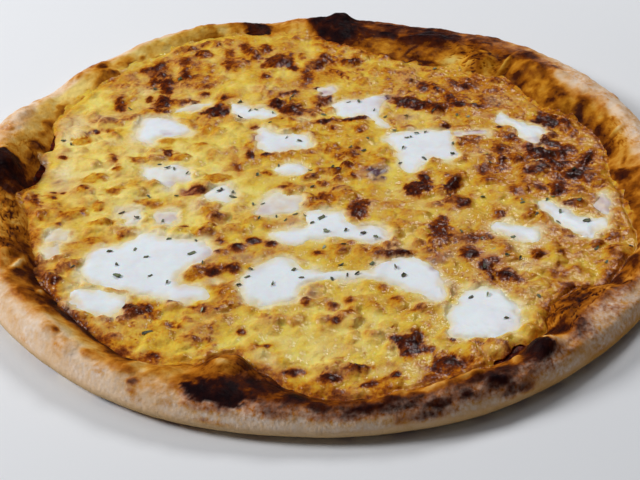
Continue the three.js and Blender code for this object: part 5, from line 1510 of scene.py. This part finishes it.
# %% Oregano
# Middle, length, width, turn in degrees, and the shade: g green, o olive, k black, p pale.
OREGANO = [
    (-84, -55, 3.4, 2.2, 20, "o"), (-74, -54, 3.0, 2.0, 70, "g"), (-69, -59, 2.8, 1.8, 10, "o"),
    (-51, -57, 5.0, 3.6, 30, "g"), (-80, -64, 3.0, 2.2, 110, "k"), (-79, -71, 5.0, 3.2, 160, "g"),
    (-66, -71, 3.2, 2.2, 40, "o"), (-59, -75, 3.2, 2.4, 80, "o"), (-46, -64, 3.2, 2.0, 95, "o"),
    (-61, -47, 3.0, 1.8, 20, "g"), (-50, -48, 2.6, 1.8, 120, "k"), (-97, -66, 3.2, 2.0, 60, "k"),
    (-63, -104.5, 6.0, 2.2, 15, "k"), (-44, -93, 3.2, 2.2, 80, "p"), (-117, 29, 3.4, 2.2, 30, "o"),
    (-113, 26, 3.0, 2.0, 110, "k"), (-80, 75, 3.4, 2.2, 50, "o"), (-90, 57, 3.2, 2.0, 150, "g"),
    (-69, 86, 3.2, 2.4, 20, "g"), (-67, 6, 4.6, 3.0, 40, "k"), (-64, 5, 3.0, 2.0, 100, "g"),
    (-58, 2, 3.2, 2.0, 60, "o"), (-71, 9, 3.0, 2.0, 10, "o"), (-83, -28, 4.6, 1.6, 40, "k"),
    (-76, -32, 3.2, 2.4, 20, "o"), (-65, -34, 3.4, 2.4, 80, "g"), (-73, -16, 3.0, 2.0, 140, "o"),
    (-61, -15, 3.0, 2.2, 0, "g"), (-43, -12, 3.4, 2.2, 30, "o"), (-42, -11, 2.4, 1.6, 120, "k"),
    (-37, -13, 3.0, 2.0, 70, "g"), (-37, -16, 4.6, 3.0, 160, "o"), (-38, 63, 3.2, 2.2, 20, "k"),
    (-33, 55, 3.6, 2.4, 60, "o"), (-30, 56, 3.0, 2.0, 140, "g"), (-22, 53, 3.2, 2.2, 100, "o"),
    (-37, 47, 2.8, 1.8, 0, "k"), (-23, 44, 3.0, 2.0, 45, "o"), (-15, 31, 3.2, 2.2, 70, "g"),
    (-9, 28, 3.2, 2.0, 160, "o"), (14, 64, 3.4, 2.2, 30, "g"), (19, 64, 3.2, 2.4, 110, "o"),
    (26, 56, 3.2, 2.0, 70, "k"), (31, 50, 3.4, 2.2, 40, "o"), (41, 51, 3.4, 2.4, 10, "o"),
    (2, 53, 3.4, 2.6, 30, "g"), (-14, 65, 6.0, 2.0, 90, "k"), (-13, 69, 3.0, 2.4, 30, "p"),
    (14, 24, 3.2, 2.2, 40, "o"), (20, 21, 3.6, 2.4, 20, "k"), (22, 30, 3.2, 2.0, 120, "o"),
    (38, 22, 3.4, 2.4, 70, "g"), (40, 31, 3.4, 2.2, 20, "g"), (42, 32, 2.6, 1.8, 100, "k"),
    (45, 35, 3.2, 2.2, 150, "o"), (49, 36, 3.0, 2.0, 60, "o"), (35, 38, 3.0, 2.2, 20, "g"),
    (61, 27, 3.2, 2.0, 80, "o"), (60, 18, 3.0, 2.2, 30, "o"), (47, 14, 3.6, 2.4, 130, "k"),
    (36, 10, 3.4, 2.2, 40, "o"), (6, 6, 3.2, 2.2, 60, "o"), (-4, 5, 3.0, 2.0, 10, "g"),
    (-18, 8, 3.2, 2.0, 90, "o"), (-3, -8, 3.2, 2.0, 30, "k"), (-27, 0, 3.0, 2.2, 70, "g"),
    (1, -32, 4.8, 3.4, 40, "o"), (3, -42, 3.4, 2.8, 0, "p"), (11, -41, 3.2, 2.2, 60, "o"),
    (18, -43, 4.0, 2.8, 20, "k"), (23, -46, 3.4, 2.2, 140, "g"), (-10, -29, 3.4, 2.4, 30, "o"),
    (-18, -30, 3.2, 2.2, 100, "k"), (-14, -33, 3.0, 2.0, 60, "o"), (-3, -36, 3.2, 2.2, 20, "g"),
    (-25, -33, 3.4, 2.2, 70, "o"), (-6, -30, 3.0, 2.0, 130, "k"), (-24, -21, 3.2, 2.4, 40, "g"),
    (-28, -22, 3.0, 2.0, 90, "o"), (10, -51, 3.4, 2.2, 20, "o"), (2, -52, 3.2, 2.4, 60, "p"),
    (8.5, -64, 3.6, 2.6, 30, "k"), (5, -72, 3.6, 2.4, 110, "k"), (33, -71, 3.4, 2.4, 40, "o"),
    (-18, -76, 3.4, 2.4, 80, "o"), (-28, -72, 3.2, 2.2, 30, "g"), (-27, -67, 3.0, 2.0, 140, "o"),
    (-10, -67, 3.2, 2.2, 60, "o"), (-7, -72, 3.2, 2.0, 10, "g"), (11, -70, 3.2, 2.2, 80, "o"),
    (15, -69, 3.0, 2.0, 30, "k"), (30, -66, 3.4, 2.2, 110, "o"), (21, -63, 3.2, 2.2, 50, "g"),
    (-31, -77, 3.0, 2.0, 20, "o"), (58, -84, 3.8, 2.6, 40, "k"), (64.5, -82.5, 3.6, 2.6, 80, "p"),
    (70, -96, 3.4, 2.2, 20, "o"), (65, -66, 4.0, 2.0, 90, "k"), (80, -60, 3.4, 2.4, 60, "o"),
    (75, -59, 3.0, 2.0, 10, "g"), (84, -83, 3.2, 2.2, 120, "o"), (112, -52, 3.4, 2.4, 40, "o"),
    (111, -34, 4.8, 3.2, 20, "o"), (101, -28, 3.4, 2.4, 80, "g"), (99, -35, 3.2, 2.2, 130, "o"),
    (91, -29, 3.2, 2.2, 50, "k"), (86, -22, 3.2, 2.0, 20, "o"), (86, -20, 2.8, 1.8, 100, "g"),
    (97, -18, 3.2, 2.2, 60, "o"), (100, -16, 3.0, 2.2, 150, "g"), (110, -21, 3.4, 2.4, 30, "o"),
    (56, -16, 3.2, 2.2, 70, "o"), (70, -16, 3.2, 2.2, 20, "g"), (58, -43, 3.2, 2.2, 110, "o"),
    (70, -54, 3.2, 2.4, 40, "p"), (66, -47, 3.4, 2.2, 80, "o"), (79, -45, 3.2, 2.2, 20, "g"),
    (97, 11, 3.4, 2.6, 60, "p"), (112, 4, 3.2, 2.2, 30, "o"), (76, 10, 3.0, 2.0, 120, "k"),
    (75, 15, 3.0, 2.0, 40, "o"), (109, 59, 3.2, 2.2, 70, "o"), (58, 96, 3.2, 2.2, 20, "g"),
    (70, 50, 3.2, 2.6, 50, "p"), (65, 52, 3.0, 2.0, 100, "o"), (54, 54, 3.2, 2.2, 30, "k"),
    (114, -62, 3.4, 2.4, 60, "o"), (126, -51, 3.2, 2.2, 20, "o"),
]
LEAF_COLOURS = {"g": "#66704c", "o": "#4c4e28", "k": "#2c2212", "p": "#a9b294"}
print("leaves:", len(OREGANO))

# %% One leaf
leaf = grid_piece("leaf_pattern", 4, 2)
bpy.ops.object.modifier_add(type="SOLIDIFY")
leaf.modifiers[0].thickness = 1.0
leaf.modifiers[0].offset = 0
bpy.ops.object.modifier_apply(modifier=leaf.modifiers[0].name)
u, v, through = points_of(leaf).T
print("points of a leaf:", len(u))

# %% All the leaves
LEAF_THICKNESS = 0.2                     # mm, a little more than a real leaf so that it shows
LEAF_SCALE = 0.68
LEAF_LIFT = 0.22                         # mm that a leaf lies above the cheese
LEAF_RAG = 0.30                          # of a half leaf that its outline wanders
LEAF_DRAPE = 0.6                         # share of the surface's form that a leaf takes up


def surface_under(x, y):
    """Height of the cheese or of the pool at a place, in mm."""
    inside = look_up(pool_depth, x, y)
    return np.where(inside > 0, pool_top(x, y, inside), look_up(height, x, y))


rng = np.random.default_rng(901)


def wandering():
    """A different unevenness of the outline each time."""
    return LEAF_RAG * noise(u * 3, v * 3, 1.3, int(rng.integers(1000)))


leaves = []
shades = []
for cx, cy, length, width, turn, shade in OREGANO:
    taper = 1 - rng.uniform(0.2, 0.75) * u ** 2 - rng.uniform(-0.25, 0.25) * u
    ragged_u = u + wandering()
    ragged_v = v * taper + wandering()
    narrow = rng.uniform(0.4, 0.9)
    along = LEAF_SCALE * ragged_u * length / 2
    across = LEAF_SCALE * narrow * ragged_v * width / 2
    c, s = math.cos(math.radians(turn)), math.sin(math.radians(turn))
    x, y = cx + along * c - across * s, cy + along * s + across * c
    curl = rng.uniform(-0.25, 0.7) * ragged_v ** 2 + rng.uniform(-0.2, 0.5) * u ** 2
    tilt = rng.uniform(-0.18, 0.18) * u + rng.uniform(-0.15, 0.15) * v
    middle = surface_under(np.array([cx]), np.array([cy]))
    lie = blend(middle, surface_under(x, y), LEAF_DRAPE)
    z = lie + LEAF_LIFT + curl * 0.8 + tilt + through * LEAF_THICKNESS
    copy = leaf.copy()
    copy.data = leaf.data.copy()
    bpy.context.scene.collection.objects.link(copy)
    move_points(copy, np.stack([x, y, z], 1))
    leaves.append(copy)
    shades += [linear(LEAF_COLOURS[shade])[:3]] * len(x)
print("leaves laid down:", len(leaves))

# %% The leaves as one piece
deselect_all()
bpy.data.objects.remove(leaf)
for copy in leaves:
    copy.select_set(True)
oregano = leaves[0]
bpy.context.view_layer.objects.active = oregano
bpy.ops.object.join()
oregano.name = oregano.data.name = "oregano_flakes"
edit(oregano, SELECT_ALL, TURN_OUTWARDS)
write_attribute(oregano, "leaf", np.array(shades).T)
settle(oregano, herb, None)
bpy.ops.object.shade_flat()

# %% [markdown]
# ## Light and floor
# One soft window at the left and one behind on the right light the top and leave the front of
# the crust in soft shade. Both glance off the oily cheese. The sky is weak, so that burnt
# parts stay deep and warm.

# %% Lights
# Name, place and diameter in metres, watts.
LIGHTS = [
    ("left_window", (-1.06, 0.0, 0.72), 0.4, 12.2), ("back_window", (0.38, 0.80, 0.96), 0.4, 7.2),
    ("ceiling", (0.0, 0.1, 1.3), 0.9, 1.5),
]
SKY = 0.055                              # strength of the light from all round

deselect_all()
for name, place, size, watts in LIGHTS:
    bpy.ops.object.light_add(type="AREA", location=place)
    lamp = bpy.context.object
    lamp.name = name
    lamp.data.shape = "DISK"
    lamp.data.size = size
    lamp.data.energy = watts
    # Turned to the middle of the pizza
    lower = math.atan2(place[2], math.hypot(place[0], place[1]))
    turn = math.atan2(-place[1], -place[0])
    lamp.rotation_euler = (0, math.pi / 2 - lower, turn + math.pi)
world = bpy.data.worlds.new("studio")
world.use_nodes = True
world.node_tree.nodes["Background"].inputs[0].default_value = linear("#f1f5fa")
world.node_tree.nodes["Background"].inputs[1].default_value = SKY
bpy.context.scene.world = world
print("lights:", [light[0] for light in LIGHTS])

# %% Floor
FLOOR_SIDE = 6                           # metres

bpy.ops.mesh.primitive_plane_add(size=FLOOR_SIDE, location=(0, 0, 0))
floor = bpy.context.object
floor.name = "studio_floor"
paper = new_material("matt_white_paper")
finish_surface(paper, {"Base Color": linear("#e9ebef"), "Roughness": 0.9})
floor.data.materials.append(paper)
